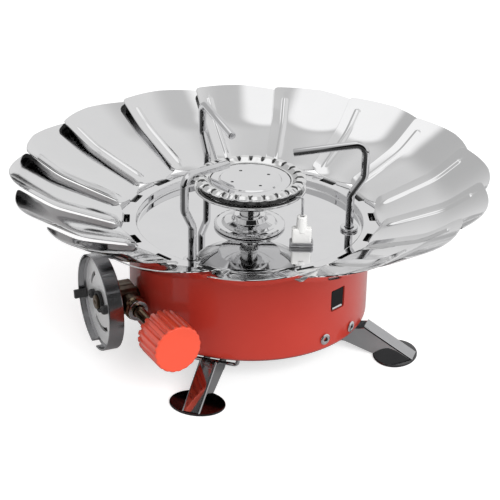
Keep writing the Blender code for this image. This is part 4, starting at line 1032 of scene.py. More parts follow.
        def shade(point: np.ndarray, normal: np.ndarray) -> np.ndarray:
            """Paint shade black on the root, and on a strip below that widens towards the tip."""
            spot = place.recall(point)
            out = fade(spot[:, 0], *self.lap_start)
            distance = np.clip(spot[:, 0] * self.stretch, 0.0, self.blade - self.tip_corner)
            width = self.lap_width[0] + self.lap_width[1] * out
            strip = fade(spot[:, 1], self.half_width(distance) - width, self.lap_soft) * out
            hooked = fade(spot[:, 0], self.root[0], -self.root[1])
            return np.maximum(strip * (normal[:, 2] < self.lap_below), hooked)

        return shade


# ---------------------------------------------------------------- pot supports


@dataclass
class PotSupports:
    """Three bent rods that turn in flanged bushes and hold the pan."""

    first: float = -122.8
    circle: float = 0.0475
    base: float = 0.0600
    radius: float = 0.00195
    foot: float = 0.0442
    corners: tuple[Pair, ...] = ((0.0, 0.0140), (0.0062, 0.0240), (0.0062, 0.0405),
                                 (-0.0277, 0.0345))
    bends: Pair = (0.0060, 0.0055)
    cut: tuple[Pair, ...] = ((0.0, 0.0), (0.0, 0.60), (0.0, 0.78), (0.00012, 0.92), (0.0004, 1.0))
    head: Pair = (0.0030, 0.0015)
    bush: tuple[float, ...] = (0.00225, 0.00315, 0.0042, 0.0012)
    floor: float = 0.0560
    bush_depth: float = 0.0040
    # the rods' painted dark reflection: the way it faces, its edge's cosines and how black it is
    dark_reflection_way: Three = (-0.20, -0.97, -0.14)
    dark_reflection_edge: Pair = (0.82, 0.94)
    dark_reflection_black: float = 0.88

    def painted_dark_reflection(self, point: np.ndarray, normal: np.ndarray) -> np.ndarray:
        """Paint a dark reflection on the side that faces the front."""
        low, high = self.dark_reflection_edge
        return self.dark_reflection_black * fade(normal @ np.asarray(self.dark_reflection_way), low, high - low)

    def path(self) -> np.ndarray:
        """Return the rod's middle line in its own upright frame."""
        points = [(0.0, 0.0, self.foot - self.base)] + [(x, 0.0, z) for x, z in self.corners]
        lower = rounded(points[:4], self.bends[0], 10)[:-1]
        upper = rounded([lower[-1], *points[3:]], self.bends[1], 14)
        return np.vstack((lower, upper[1:]))

    def build(self, shop: Workshop) -> None:
        """Make the rods and their bushes."""
        bore, sleeve, flange, thick = self.bush
        bar = rod(self.path(), self.radius, (0.0, 1.0, 0.0), self.cut, 28)
        low = self.foot - self.base
        head = lathe(section(0.0, self.head[0], low, low + self.head[1]), 0.0002, 24)
        bottom, seat = self.floor - self.bush_depth, self.floor + GAP
        collar = lathe(((bore, bottom), (sleeve, bottom), (sleeve, seat), (flange, seat),
                        (flange, seat + thick), (bore, seat + thick)), 0.0003, 48)
        for index in range(3):
            angle = self.first + 120.0 * index
            place = Place.upright(angle, self.circle, self.base)
            name, bush = f"pot_support_{index + 1}", f"support_bush_{index + 1}"
            shop.piece(f"{name}_rod", [place.carry(bar), place.carry(head)], Finishes.ROD, name,
                       [name], shade=self.painted_dark_reflection)
            shop.piece(f"{bush}_collar", [Place.upright(angle, self.circle).carry(collar)],
                       Finishes.BRIGHT, "stove", [bush])


# ---------------------------------------------------------------- burner


@dataclass
class Burner:
    """The burner: stepped foot, mixing tube with bowl, fluted crown and centre cap.

    Heights are above the plate's floor, except that of the tube's bottom. A port's mouth, where
    shade is painted black, is an oval of a circle, half length and half width, with an edge that
    starts at a share of them and has its own softness. The neck's band of painted shade runs on
    both sides of the neck's radius. A rise or a start holds where an effect begins and the length
    that it grows over.
    """

    level: float = 0.0563
    steps: tuple[Pair, ...] = (
        (0.0047, 0.0), (0.0170, 0.0), (0.0170, 0.0012), (0.0158, 0.0016), (0.0133, 0.0016),
        (0.0122, 0.0027), (0.0106, 0.0030), (0.0085, 0.0034), (0.0075, 0.0058), (0.0047, 0.0058))
    stem: float = 0.0044
    tube_bottom: float = 0.0390
    bore: float = 0.0032
    head: float = 0.0265
    neck: float = 0.0243
    seat: float = 0.0227
    inner: float = 0.0193
    lip: float = 0.0196
    bowl_bottom: float = 0.0122
    belly: Pair = (0.0150, 0.0196)
    crown_bottom: float = 0.0238
    crown_top: float = 0.0258
    crown_fine: float = 0.0003
    crest: Pair = (0.0222, 0.0245)
    ports: int = 24
    port_faces: int = 24
    flute: float = 0.00028
    port_depth: float = 0.0004
    port_pull: float = 0.0007
    groove: Pair = (0.15, 1.4)
    flute_rise: Pair = (0.0001, 0.0009)
    flute_start: Pair = (0.0199, 0.0024)
    groove_start: Pair = (0.0206, 0.0012)
    pull_rise: Pair = (-0.0003, 0.0003)
    pull_start: Pair = (0.0249, 0.0012)
    mouth_rise: Pair = (0.0003, 0.0003)
    port_mouth: Three = (0.0231, 0.0027, 0.0010)
    port_edge: Pair = (0.78, 0.24)
    # painted shade on the crown's neck, in the gap between crown and bowl
    neck_shade_band: Pair = (0.0239, 0.0249)
    neck_shade_soft: float = 0.0002
    neck_shade_black: float = 0.93
    # how black the painted reflection under the bowl's lip is
    lip_black: float = 0.9
    lip_start: Pair = (0.0226, 0.0008)
    lip_end: Pair = (0.0255, -0.0004)
    cap_top: float = 0.0236
    cap_sheet: float = 0.0012
    cap_raised: Pair = (0.0143, 0.0007)
    cap_band: Pair = (0.0070, 0.0126)
    cap_hole: Three = (0.0098, 0.0008, 29.0)

    def foot(self) -> Grid:
        """Return the stepped cone on the plate."""
        steps = [(radius, self.level + height) for radius, height in self.steps]
        return lathe(steps, 0.0005, 96, 4)

    def bowl(self) -> Grid:
        """Return the mixing tube and the bowl that it opens into."""
        rim, low = self.level + self.lip, self.level + self.bowl_bottom
        narrow, wide = self.belly
        corners = ((self.bore, self.tube_bottom), (self.stem, self.tube_bottom), (self.stem, low),
                   (narrow, low + 0.0012), (wide, low + 0.0036), (self.neck, rim - 0.0012),
                   (self.head, rim), (self.head, rim + 0.0010), (self.neck, rim + 0.0010),
                   (self.seat, rim + 0.0010), (narrow, low + 0.0024), (self.bore, low + 0.0012))
        return lathe(corners, 0.0004, 96, 4)

    def crown(self) -> Grid:
        """Return the fluted ring.

        Its profile is turned about Z, and each point then drops by f(a) w(r) + g(a) v(r), where
        f is a cosine flute across the ring and g a narrow groove at every port, near the edge.
        The wall under the edge is drawn in by g at every port.
        """
        low, top = self.level + self.crown_bottom, self.level + self.crown_top
        lip = self.level + self.lip + 0.0013
        corners = ((self.seat, lip), (self.neck, lip), (self.neck, low), (self.head, low),
                   (self.head, low + 0.0010), (self.crest[1], top), (self.crest[0], top - 0.0001),
                   (self.inner + 0.0008, top - 0.0020), (self.inner, top - 0.0024),
                   (self.inner, low), (self.seat, low))
        profile = self.fine(rounded(corners, 0.00035, 4, closed=True), self.crown_fine)
        angles = np.linspace(0.0, 360.0, self.ports * self.port_faces + 1)
        grid = turned(profile, angles)
        phase = (angles * self.ports / 360.0 + 0.5) % 1.0 - 0.5
        flute = 0.5 + 0.5 * np.cos(2.0 * math.pi * phase)
        groove = np.exp(-((phase / self.groove[0]) ** 2) * self.groove[1])
        radius, height = profile[:, :1], profile[:, 1:]
        above = fade(height - low, *self.flute_rise)
        wide = above * fade(radius, *self.flute_start)
        deep = above * fade(radius, *self.groove_start)
        grid[..., 2] -= self.flute * wide * flute + self.port_depth * deep * groove
        wave = fade(height - low, *self.pull_rise) * fade(radius, *self.pull_start)
        grid[..., :2] *= (1.0 - self.port_pull * wave * groove / self.head)[..., None]
        return grid

    @staticmethod
    def fine(line: np.ndarray, step: float) -> np.ndarray:
        """Split a line's long spans."""
        parts = []
        for start, end in zip(line[:-1], line[1:]):
            count = max(1, math.ceil(float(np.linalg.norm(end - start)) / step))
            parts.append(np.linspace(start, end, count + 1)[:-1])
        return np.vstack((*parts, line[-1:]))

    def port_shade(self, point: np.ndarray, normal: np.ndarray) -> np.ndarray:
        """Paint shade black into each port's mouth, and onto the crown's neck in the gap above the
        lip.
        """
        radius, height = np.hypot(point[:, 0], point[:, 1]), point[:, 2]
        low = self.level + self.crown_bottom
        turn = np.degrees(np.arctan2(point[:, 1], point[:, 0])) * self.ports / 360.0
        side = ((turn + 0.5) % 1.0 - 0.5) * 2.0 * math.pi * radius / self.ports
        circle, length, width = self.port_mouth
        oval = np.hypot(side / width, (radius - circle) / length)
        mouth = (1.0 - fade(oval, *self.port_edge)) * fade(height - low, *self.mouth_rise)
        (start, end), soft = self.neck_shade_band, self.neck_shade_soft
        neck = fade(radius, start, soft) * fade(radius, end, -soft)
        return np.maximum(mouth, self.neck_shade_black * neck * fade(height - low, 0.0004, -soft))

    def lip_shade(self, point: np.ndarray, normal: np.ndarray) -> np.ndarray:
        """Paint a dark reflection on the bowl's wall just below its lip."""
        radius = np.hypot(point[:, 0], point[:, 1])
        near = fade(radius, *self.lip_start) * fade(radius, *self.lip_end)
        below = (normal[:, 2] < -0.2) * (point[:, 2] < self.level + self.lip - 0.0002)
        return self.lip_black * near * below

    def cap(self) -> list[Grid]:
        """Return the centre disc: a plain middle, four drilled sectors and a stepped rim."""
        edge, (shelf, step), (inner, outer) = self.inner - GAP, self.cap_raised, self.cap_band
        top = self.level + self.cap_top + step
        circle, radius, first = self.cap_hole
        angles = stops([first - 45.0 + 90.0 * index for index in range(5)], 3.75)
        corners = ((outer, top), (shelf, top), (shelf + step, top - step), (edge, top - step),
                   (edge, top - step - 0.0010))
        return [turned(level_line(np.linspace(0.0, inner, 5), top), angles),
                turned(rounded(corners, 0.0003, 4), angles),
                *pierced_ring(np.linspace(inner, outer, 9), angles,
                              [first + 90.0 * index for index in range(4)], 45.0,
                              lambda rim: unit(rim) * radius + (circle, 0.0), 6, top)]

    def build(self, shop: Workshop) -> None:
        """Make the burner's pieces."""
        shop.piece("burner_foot_cone", [self.foot()], Finishes.MIRROR, "stove", ["burner_foot"])
        shop.piece("burner_bowl_tube", [self.bowl()], Finishes.BURNER, "stove", ["burner_bowl"],
                   shade=self.lip_shade)
        shop.piece("burner_crown_ring", [self.crown()], Finishes.BURNER, "stove",
                   ["burner_crown"], crease=60.0, shade=self.port_shade)
        shop.piece("burner_cap_disc", self.cap(), Finishes.MIRROR, "stove", ["burner_cap"],
                   self.cap_sheet, UP)


# ---------------------------------------------------------------- valve, knob and flange


@dataclass
class Valve:
    """The valve outside the drum, its spindle and the ribbed knob.

    Lengths along the valve are from the drum's axis, and those along its branch from the
    valve's middle. The knob's profile holds (from its back or its face, inset, groove's share).
    """

    angle: float = 204.5
    height: float = 0.0300
    shank: Pair = (0.0042, 0.0495)
    block: Three = (0.0066, 0.0595, 0.0742)
    nozzle: Three = (0.0033, 0.0785, 0.0009)
    ears: Three = (0.0232, 0.0100, 0.0022)
    centre: float = 0.0640
    branch_angle: float = -60.0
    branch: Pair = (0.0052, 0.0112)
    packing: Three = (0.0056, 0.0115, 0.0145)
    washer: tuple[float, ...] = (0.0030, 0.0050, 0.0151, 0.0159)
    spindle: Three = (0.0026, 0.0040, 0.0492)
    knob: Three = (0.0114, 0.0372, 0.0562)
    knob_back: tuple[Three, ...] = ((0.0, 0.0020, 1.0), (0.0, 0.0012, 1.0), (0.0003, 0.0005, 1.0),
                                    (0.0012, 0.0, 1.0))
    knob_face: tuple[Three, ...] = (
        (0.0100, 0.0, 1.0), (0.0016, 0.0, 1.0), (0.0012, 0.0, 0.6), (0.0009, 0.00004, 0.35),
        (0.0005, 0.00015, 0.25), (0.0002, 0.0004, 0.2), (0.0, 0.0009, 0.15), (0.0, 0.0013, 0.1))
    ribs: int = 20
    groove: float = 0.0010
    groove_start: Pair = (0.44, 0.12)
    groove_end: Pair = (0.88, 0.12)

    def knob_row(self, height: float, inset: float, share: float) -> np.ndarray:
        """Return the knob's outline at a height.

        Its radius is R less an inset and less a groove whose depth is a smooth trapezoid wave.
        """
        turn = np.linspace(0.0, 2.0 * math.pi, self.ribs * 12 + 1)
        phase = (turn * self.ribs / (2.0 * math.pi)) % 1.0
        wave = fade(phase, *self.groove_start) - fade(phase, *self.groove_end)
        radius = self.knob[0] - inset - self.groove * share * wave
        return raised(np.column_stack((radius * np.cos(turn), radius * np.sin(turn))), height)

    def knob_grid(self) -> Grid:
        """Return the knob: grooved sides, a plain rim round its face and a bevelled back."""
        _, back, face = self.knob
        rows = [self.knob_row(back + up, inset, share) for up, inset, share in self.knob_back]
        rows += [self.knob_row(face - down, inset, share) for down, inset, share in self.knob_face]
        ends = [np.broadcast_to((0.0, 0.0, height), rows[0].shape) for height in (back, face)]
        return np.stack((ends[0], *rows, ends[1]))

    def build(self, shop: Workshop) -> None:
        """Make the valve's pieces."""
        outward = Place.lying(self.angle, (0.0, 0.0, self.height))
        along = Place.lying(self.branch_angle, polar(self.centre, self.angle, self.height))
        (radius, start), (reach, end) = self.shank, self.branch
        (wide, near, far), (tip, tip_end, bore) = self.block, self.nozzle
        span, depth, thick = self.ears
        nut, nut_start, nut_end = self.packing
        thin, low, high = self.spindle
        hole = thin + GAP
        branch = ((0.0, 0.0), (reach, 0.0), (reach, end), (hole, end), (hole, low), (0.0, low))
        gland = ((hole, nut_start), (nut, nut_start), (nut, nut_end - 0.0009),
                 (nut * 0.85, nut_end), (hole, nut_end))
        for name, grid in (
            ("shank", lathe(section(0.0, radius, start, near + 0.0005), 0.0005, 40,
                            place=outward)),
            ("block", lofted(box_outline(2.0 * wide, 2.0 * wide * 0.98, 0.0020),
                             pillow(near, far - 0.0023, 0.0006), outward)),
            ("collar", lathe(section(0.0, wide, near, far), 0.0007, 64, 4, outward)),
            ("ears", lofted(box_outline(span, depth, 0.0042, 8),
                            pillow(far - thick, far, 0.0004), outward)),
            ("branch", lathe(branch, 0.0004, 48, place=along)),
            ("nozzle", lathe(section(bore, tip, far - 0.001, tip_end), 0.0005, 40,
                             place=outward)),
        ):
            shop.piece(f"valve_{name}", [grid], Finishes.VALVE, "stove", ["valve_body"])
        shop.piece("packing_gland", [lathe(gland, 0.0003, 48, place=along)], Finishes.BRASS,
                   "stove", ["packing_nut"])
        shaft = lathe(section(0.0, thin, low, high), 0.0003, 32, place=along)
        ring = lathe(section(*self.washer), 0.0003, 56, 4, along)
        for name, grid, finish, node in (
            ("spindle_rod", shaft, Finishes.BRASS, "valve_spindle"),
            ("spindle_washer", ring, Finishes.BRIGHT, "spindle_ring"),
            ("knob_moulding", along.carry(self.knob_grid()), Finishes.CORAL, "valve_knob"),
        ):
            shop.piece(name, [grid], finish, "valve_control", [node])


def apart(angles: np.ndarray, middle: float) -> np.ndarray:
    """Return how far angles are from another, the short way round."""
    return np.abs((angles - middle + 180.0) % 360.0 - 180.0)


@dataclass
class Flange:
    """The cup that holds the cartridge, with its seal, screws and locating tab.

    Its angles run about the valve's line. The screw holds its head's radius and height and
    its shank's radius, and the cross its arm's half width, the share of the radius that it
    reaches and its depth.
    """

    angle: float = 204.5
    height: float = 0.0300
    face: float = 0.0755
    sheet: float = 0.0010
    radius: float = 0.0230
    lip: float = 0.0037
    skirt: float = 0.0035
    bore: float = 0.0036
    slots: tuple[Pair, ...] = ((146.0, 42.0), (-88.0, 72.0))
    slot_band: Pair = (0.0126, 0.0146)
    notches: Pair = (118.0, -92.0)
    notch_width: float = 0.0060
    notch_soft: float = 0.15
    seal: Pair = (0.0052, 0.0014)
    screw_offset: float = 0.0088
    screw: Three = (0.0022, 0.0026, 0.0010)
    cross: Three = (0.00033, 0.62, 0.0009)
    tab_angle: float = 194.0
    tab: Three = (0.0020, 0.0042, 0.0066)

    def notch_half(self) -> float:
        """Return half the angle of a notch."""
        return math.degrees(self.notch_width / self.radius) / 2.0

    def angles(self) -> np.ndarray:
        """Return the angles of the cup's columns, through the ends of its slots and notches."""
        marks = {0.0, 360.0}
        for middle, sweep in self.slots:
            marks |= {(middle - sweep / 2.0) % 360.0, (middle + sweep / 2.0) % 360.0}
        for middle in self.notches:
            marks |= {(middle + side * self.notch_half() + step) % 360.0
                      for side in (-1.0, 1.0) for step in (-self.notch_soft, self.notch_soft)}
        return stops(sorted(marks), 3.0)

    def web(self) -> list[Grid]:
        """Return the web as bands of cells, leaving out its curved slots."""
        angles = self.angles()
        inner, outer = self.slot_band
        middles = (angles[:-1] + angles[1:]) / 2.0
        cut = np.any([apart(middles, middle) < sweep / 2.0 for middle, sweep in self.slots], 0)
        core, slot, rest = (
            level_line(np.linspace(*band), self.face)
            for band in ((self.bore, inner, 6), (inner, outer, 3),
                         (outer, self.radius - self.sheet - 0.0001, 5)))
        return [turned(core, angles), turned(rest, angles),
                *(turned(slot, angles[first:last + 1]) for first, last in self.runs(~cut))]

    def band(self) -> Grid:
        """Return the cup's outer band, a closed profile whose lip drops at the notches.

        A point of the lip is at height h = root + (h0 - root) w(a), where w is 0 in a notch
        and 1 outside it.
        """
        angles = self.angles()
        away = np.min([apart(angles, middle) for middle in self.notches], axis=0)
        weight = fade(away, self.notch_half() - self.notch_soft, 2.0 * self.notch_soft)
        inner, rim, back = self.radius - self.sheet, self.face + self.lip, self.face - self.skirt
        under = self.face - self.sheet
        corners = ((self.radius, back), (self.radius, rim), (inner, rim),
                   (inner, self.face + 0.0010), (inner - 0.0010, self.face),
                   (inner - 0.0010, under), (inner, under - 0.0006), (inner, back))
        grid = turned(rounded(corners, 0.0004, 4, closed=True), angles)
        root = self.face + 0.0002
        high = np.maximum(grid[..., 2] - root, 0.0)
        grid[..., 2] = np.minimum(grid[..., 2], root) + high * weight
        return grid

    @staticmethod
    def runs(kept: np.ndarray) -> list[tuple[int, int]]:
        """Return the (first, last + 1) cells of every run of kept cells."""
        change = np.flatnonzero(np.diff(np.concatenate(([0], kept.astype(int), [0]))))
        return list(zip(change[::2], change[1::2]))

    def screw_grid(self) -> Grid:
        """Return a pan head with a cross recess, as a disc of heights over a shank.

        The head's height is H (0.45 + 0.55 (1 - (r/R)^4)^(1/2)) less the recess, a cross of
        two arms exp(-(x/a)^4).
        """
        radius, head, shank = self.screw
        arm, share, depth = self.cross
        reach = np.concatenate((np.linspace(0.0, 0.95, 14), (0.985, 1.0))) * radius
        turn = np.linspace(0.0, 2.0 * math.pi, 49)
        x, y = reach[:, None] * np.cos(turn), reach[:, None] * np.sin(turn)
        curve = np.sqrt(np.clip(1.0 - (reach / radius) ** 4, 0.0, 1.0))
        dome = head * (0.45 + 0.55 * curve)[:, None]
        cross = np.maximum(*(np.exp(-((a / arm) ** 4)) * (np.abs(b) < radius * share)
                             for a, b in ((x, y), (y, x))))
        top = np.stack((x, y, dome - depth * cross), -1)
        base = -4.0 * shank
        skirt = np.array(((radius, 0.0), (shank, 0.0), (shank, base), (0.0, base)))
        return np.concatenate((top, turned(skirt, np.degrees(turn))))

    def build(self, shop: Workshop) -> None:
        """Make the flange's pieces."""
        place = Place.lying(self.angle, (0.0, 0.0, self.height))
        shop.piece("flange_web", [place.carry(grid) for grid in self.web()], Finishes.WEB,
                   "stove", ["cartridge_flange"], self.sheet * 0.98, heading(self.angle))
        shop.piece("flange_band", [place.carry(self.band())], Finishes.CUP, "stove",
                   ["cartridge_flange"])
        # a black ring behind the web's slots is painted shade, standing in for the dark seen
        # through them
        (inner, outer), margin = self.slot_band, self.sheet
        deep = self.face - self.sheet - GAP
        slot_shade = section(inner - margin, outer + margin, deep, deep - margin / 2.0)
        shop.piece("flange_slot_shade", [lathe(slot_shade, 0.0001, 72, 2, place)], Finishes.BLACK,
                   "stove", ["cartridge_flange"])
        low = self.face + GAP
        seal = section(self.bore, self.seal[0], low, low + self.seal[1])
        shop.piece("seal_ring", [lathe(seal, 0.0004, 48, 4, place)], Finishes.RUBBER, "stove",
                   ["cartridge_seal"])
        for index, side in enumerate((-1.0, 1.0)):
            spot = self.screw_grid() + (side * self.screw_offset, 0.0, low)
            node = f"flange_screw_{index + 1}"
            shop.piece(f"{node}_head", [place.carry(spot)], Finishes.DARK, "stove", [node])
        thick, width, length = self.tab
        # the tab stands clear of the flats of a band of 36 sides
        inside = (self.radius - self.sheet) * math.cos(math.pi / 36.0) - GAP
        reach = math.sqrt(inside**2 - (width / 2.0) ** 2) - thick / 2.0
        block = lofted(box_outline(thick, width, 0.0004),
                       pillow(low, self.face + length, 0.0003)) + (reach, 0.0, 0.0)
        shop.piece("tab_block", [place.carry(Place.upright(self.tab_angle).carry(block))],
                   Finishes.DARK, "stove", ["locating_tab"])


# ---------------------------------------------------------------- igniter and electrode


@dataclass
class Igniter:
    """The push button, its rivets, and the electrode beside the burner.

    The coil holds where it starts and ends, its radius, its wire's radius and its turns. A
    rivet holds its bore, shank and head, where its head starts and how thick that is.
    """

    angle: float = -43.9
    centre: float = 0.0384
    face: float = 0.0571
    button: Three = (0.0084, 0.0100, 0.0080)
    stem: Three = (0.0052, 0.0062, 0.0070)
    ledge: tuple[float, ...] = (-0.0039, 0.0027, -0.0041, 0.00065)
    coil: tuple[float, float, float, float, int] = (0.0306, 0.0415, 0.0020, 0.0003, 5)
    rivets: tuple[Pair, ...] = ((-51.507, 0.0201), (-32.893, 0.0193))
    rivet: tuple[float, ...] = (0.0008, 0.0017, 0.0027, 0.0578, 0.0007)
    # how black the painted shade in a rivet's bore is
    bore_black: float = 0.97
    block: Three = (0.0093, 0.0046, 0.0088)
    block_corner: float = 0.0010
    spot: Pair = (0.024301, -0.020500)
    floor: float = 0.0560
    neck: Pair = (0.0026, 0.0060)
    tail: Pair = (0.0024, 0.0492)
    wire: float = 0.0006
    wire_end: tuple[Pair, ...] = ((0.0, 0.0), (0.0, 0.6), (0.0002, 1.0))
    tip: Pair = (0.0275, 0.0790)
    tip_rise: float = 0.0018
    clip: Pair = (0.0006, 0.0022)

    def button_grids(self) -> list[Grid]:
        """Return the button, a block with a round-edged face, and its stem."""
        (width, height, depth), (stem_width, stem_height, length) = self.button, self.stem
        back = self.face - depth
        return [lofted(box_outline(width, height, 0.0009), pillow(back, self.face, 0.0006)),
                lofted(box_outline(stem_width, stem_height, 0.0004),
                       pillow(back - length, back + 0.001, 0.0003))]

    def ledge_grid(self) -> Grid:
        """Return the bright bar that is let into the button's face near its lower edge."""
        left, right, height, radius = self.ledge
        path = np.linspace((left, height, self.face), (right, height, self.face), 4)
        return rod(path, radius, (0.0, 1.0, 0.0), sides=16)

    def coil_grid(self) -> Grid:
        """Return the button's spring.

        Its middle line is the helix (x, R cos a, R sin a), and its section is a circle across
        the line, which shrinks to a point at both ends.
        """
        start, end, radius, wire_radius, turns = self.coil
        turn = np.linspace(0.0, 2.0 * math.pi * turns, turns * 24 + 1)
        out = np.column_stack((np.zeros_like(turn), np.cos(turn), np.sin(turn)))
        middle = out * radius
        middle[:, 0] = np.linspace(start, end, len(turn))
        side = np.cross(unit(np.gradient(middle, axis=0)), out)
        size = np.full((len(turn), 1, 1), wire_radius)
        size[0] = size[-1] = 0.0
        around = np.linspace(0.0, 2.0 * math.pi, 11)[None, :, None]
        return middle[:, None] + size * (np.cos(around) * out[:, None]
                                         + np.sin(around) * side[:, None])

    def rivet_grid(self, place: Place) -> Grid:
        """Return a tubular rivet with a rolled head."""
        bore, shank, head, start, thick = self.rivet
        corners = ((bore, start - 0.006), (shank, start - 0.006), (shank, start), (head, start),
                   (head, start + thick * 0.6), (head * 0.80, start + thick),
                   (bore * 1.5, start + thick), (bore, start + thick * 0.2))
        return lathe(corners, 0.0003, 40, 4, place)

    def build(self, shop: Workshop) -> None:
        """Make the button with its spring, the rivets and the electrode."""
        out = Place.lying(self.angle, (0.0, 0.0, self.centre))
        for name, grids, finish in (("moulding", self.button_grids(), Finishes.BLACK),
                                    ("ledge", [self.ledge_grid()], Finishes.MIRROR)):
            shop.piece(f"button_{name}", [out.carry(grid) for grid in grids], finish,
                       "igniter_button", ["igniter_button"])
        spring = Place.upright(self.angle, 0.0, self.centre).carry(self.coil_grid())
        coil = shop.piece("button_spring", [spring], Finishes.BRIGHT, None, ["igniter_spring"])
        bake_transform(coil)
        for index, (angle, height) in enumerate(self.rivets):
            place = Place.lying(angle, (0.0, 0.0, height))
            node = f"igniter_rivet_{index + 1}"
            shop.piece(f"{node}_eyelet", [self.rivet_grid(place)], Finishes.BRIGHT, "stove",
                       [node], shade=self.bore_shade(place))
        self.build_electrode(shop)

    def bore_shade(self, place: Place) -> Shade:
        """Return the painted shade that blackens a rivet's bore."""

        def shade(point: np.ndarray, normal: np.ndarray) -> np.ndarray:
            """Paint shade black on what lies within 1.5 bores of the axis."""
            x, y, _ = place.recall(point).T
            return self.bore_black * fade(np.hypot(x, y), self.rivet[0] * 1.5, -0.0002)

        return shade

    def build_electrode(self, shop: Workshop) -> None:
        """Make the insulator, its clip and the bent wire."""
        x, y = self.spot
        (width, depth, height), (radius, tall) = self.block, self.neck
        low = self.floor + GAP
        top, hole = low + height, self.wire + GAP
        stand = Place((x, y, 0.0))
        neck = ((0.0, top - 0.002), (radius * 1.06, top - 0.002), (radius * 0.92, top + tall),
                (hole, top + tall), (hole, top), (0.0, top))
        tail = section(0.0, self.tail[0], self.tail[1], low + 0.001)
        for name, grid in (
            ("block", lofted(box_outline(width, depth, self.block_corner),
                             pillow(low, top, 0.0005), stand)),
            ("neck", lathe(neck, 0.0005, 40, 4, stand)),
            ("tail", lathe(tail, 0.0004, 32, 3, stand)),
        ):
            shop.piece(f"insulator_{name}", [grid], Finishes.CERAMIC, "stove",
                       ["electrode_ceramic"])
        facing = math.degrees(math.atan2(y, x))
        corners = ((x, y, top + GAP), (x, y, self.tip[1] + self.tip_rise),
                   polar(self.tip[0], facing, self.tip[1]))
        wire_grid = rod(rounded(corners, 0.0030, 12), self.wire, heading(facing + 90.0),
                        self.wire_end, 16)
        shop.piece("electrode_wire", [wire_grid], Finishes.ROD, "stove", ["electrode_pin"])
        shop.piece("electrode_clip_band", [stand.carry(self.clip_band(low))], Finishes.SATIN,
                   "stove", ["electrode_clip"])

    def clip_band(self, low: float) -> Grid:
        """Return the band round the insulator's foot, with a half-round face and a flat back."""
        (width, depth, _), (thick, height) = self.block, self.clip
        rows = [(low + height * (0.5 - 0.5 * math.cos(turn)),
                 GAP + thick * (0.25 + 0.75 * math.sin(turn)))
                for turn in np.linspace(0.0, math.pi, 9)]
        rows += [(low + height, GAP), (low, GAP), rows[0]]
        return np.stack([
            raised(box_outline(width + 2.0 * out, depth + 2.0 * out, self.block_corner)(0.0), level)
            for level, out in rows])


# ---------------------------------------------------------------- legs


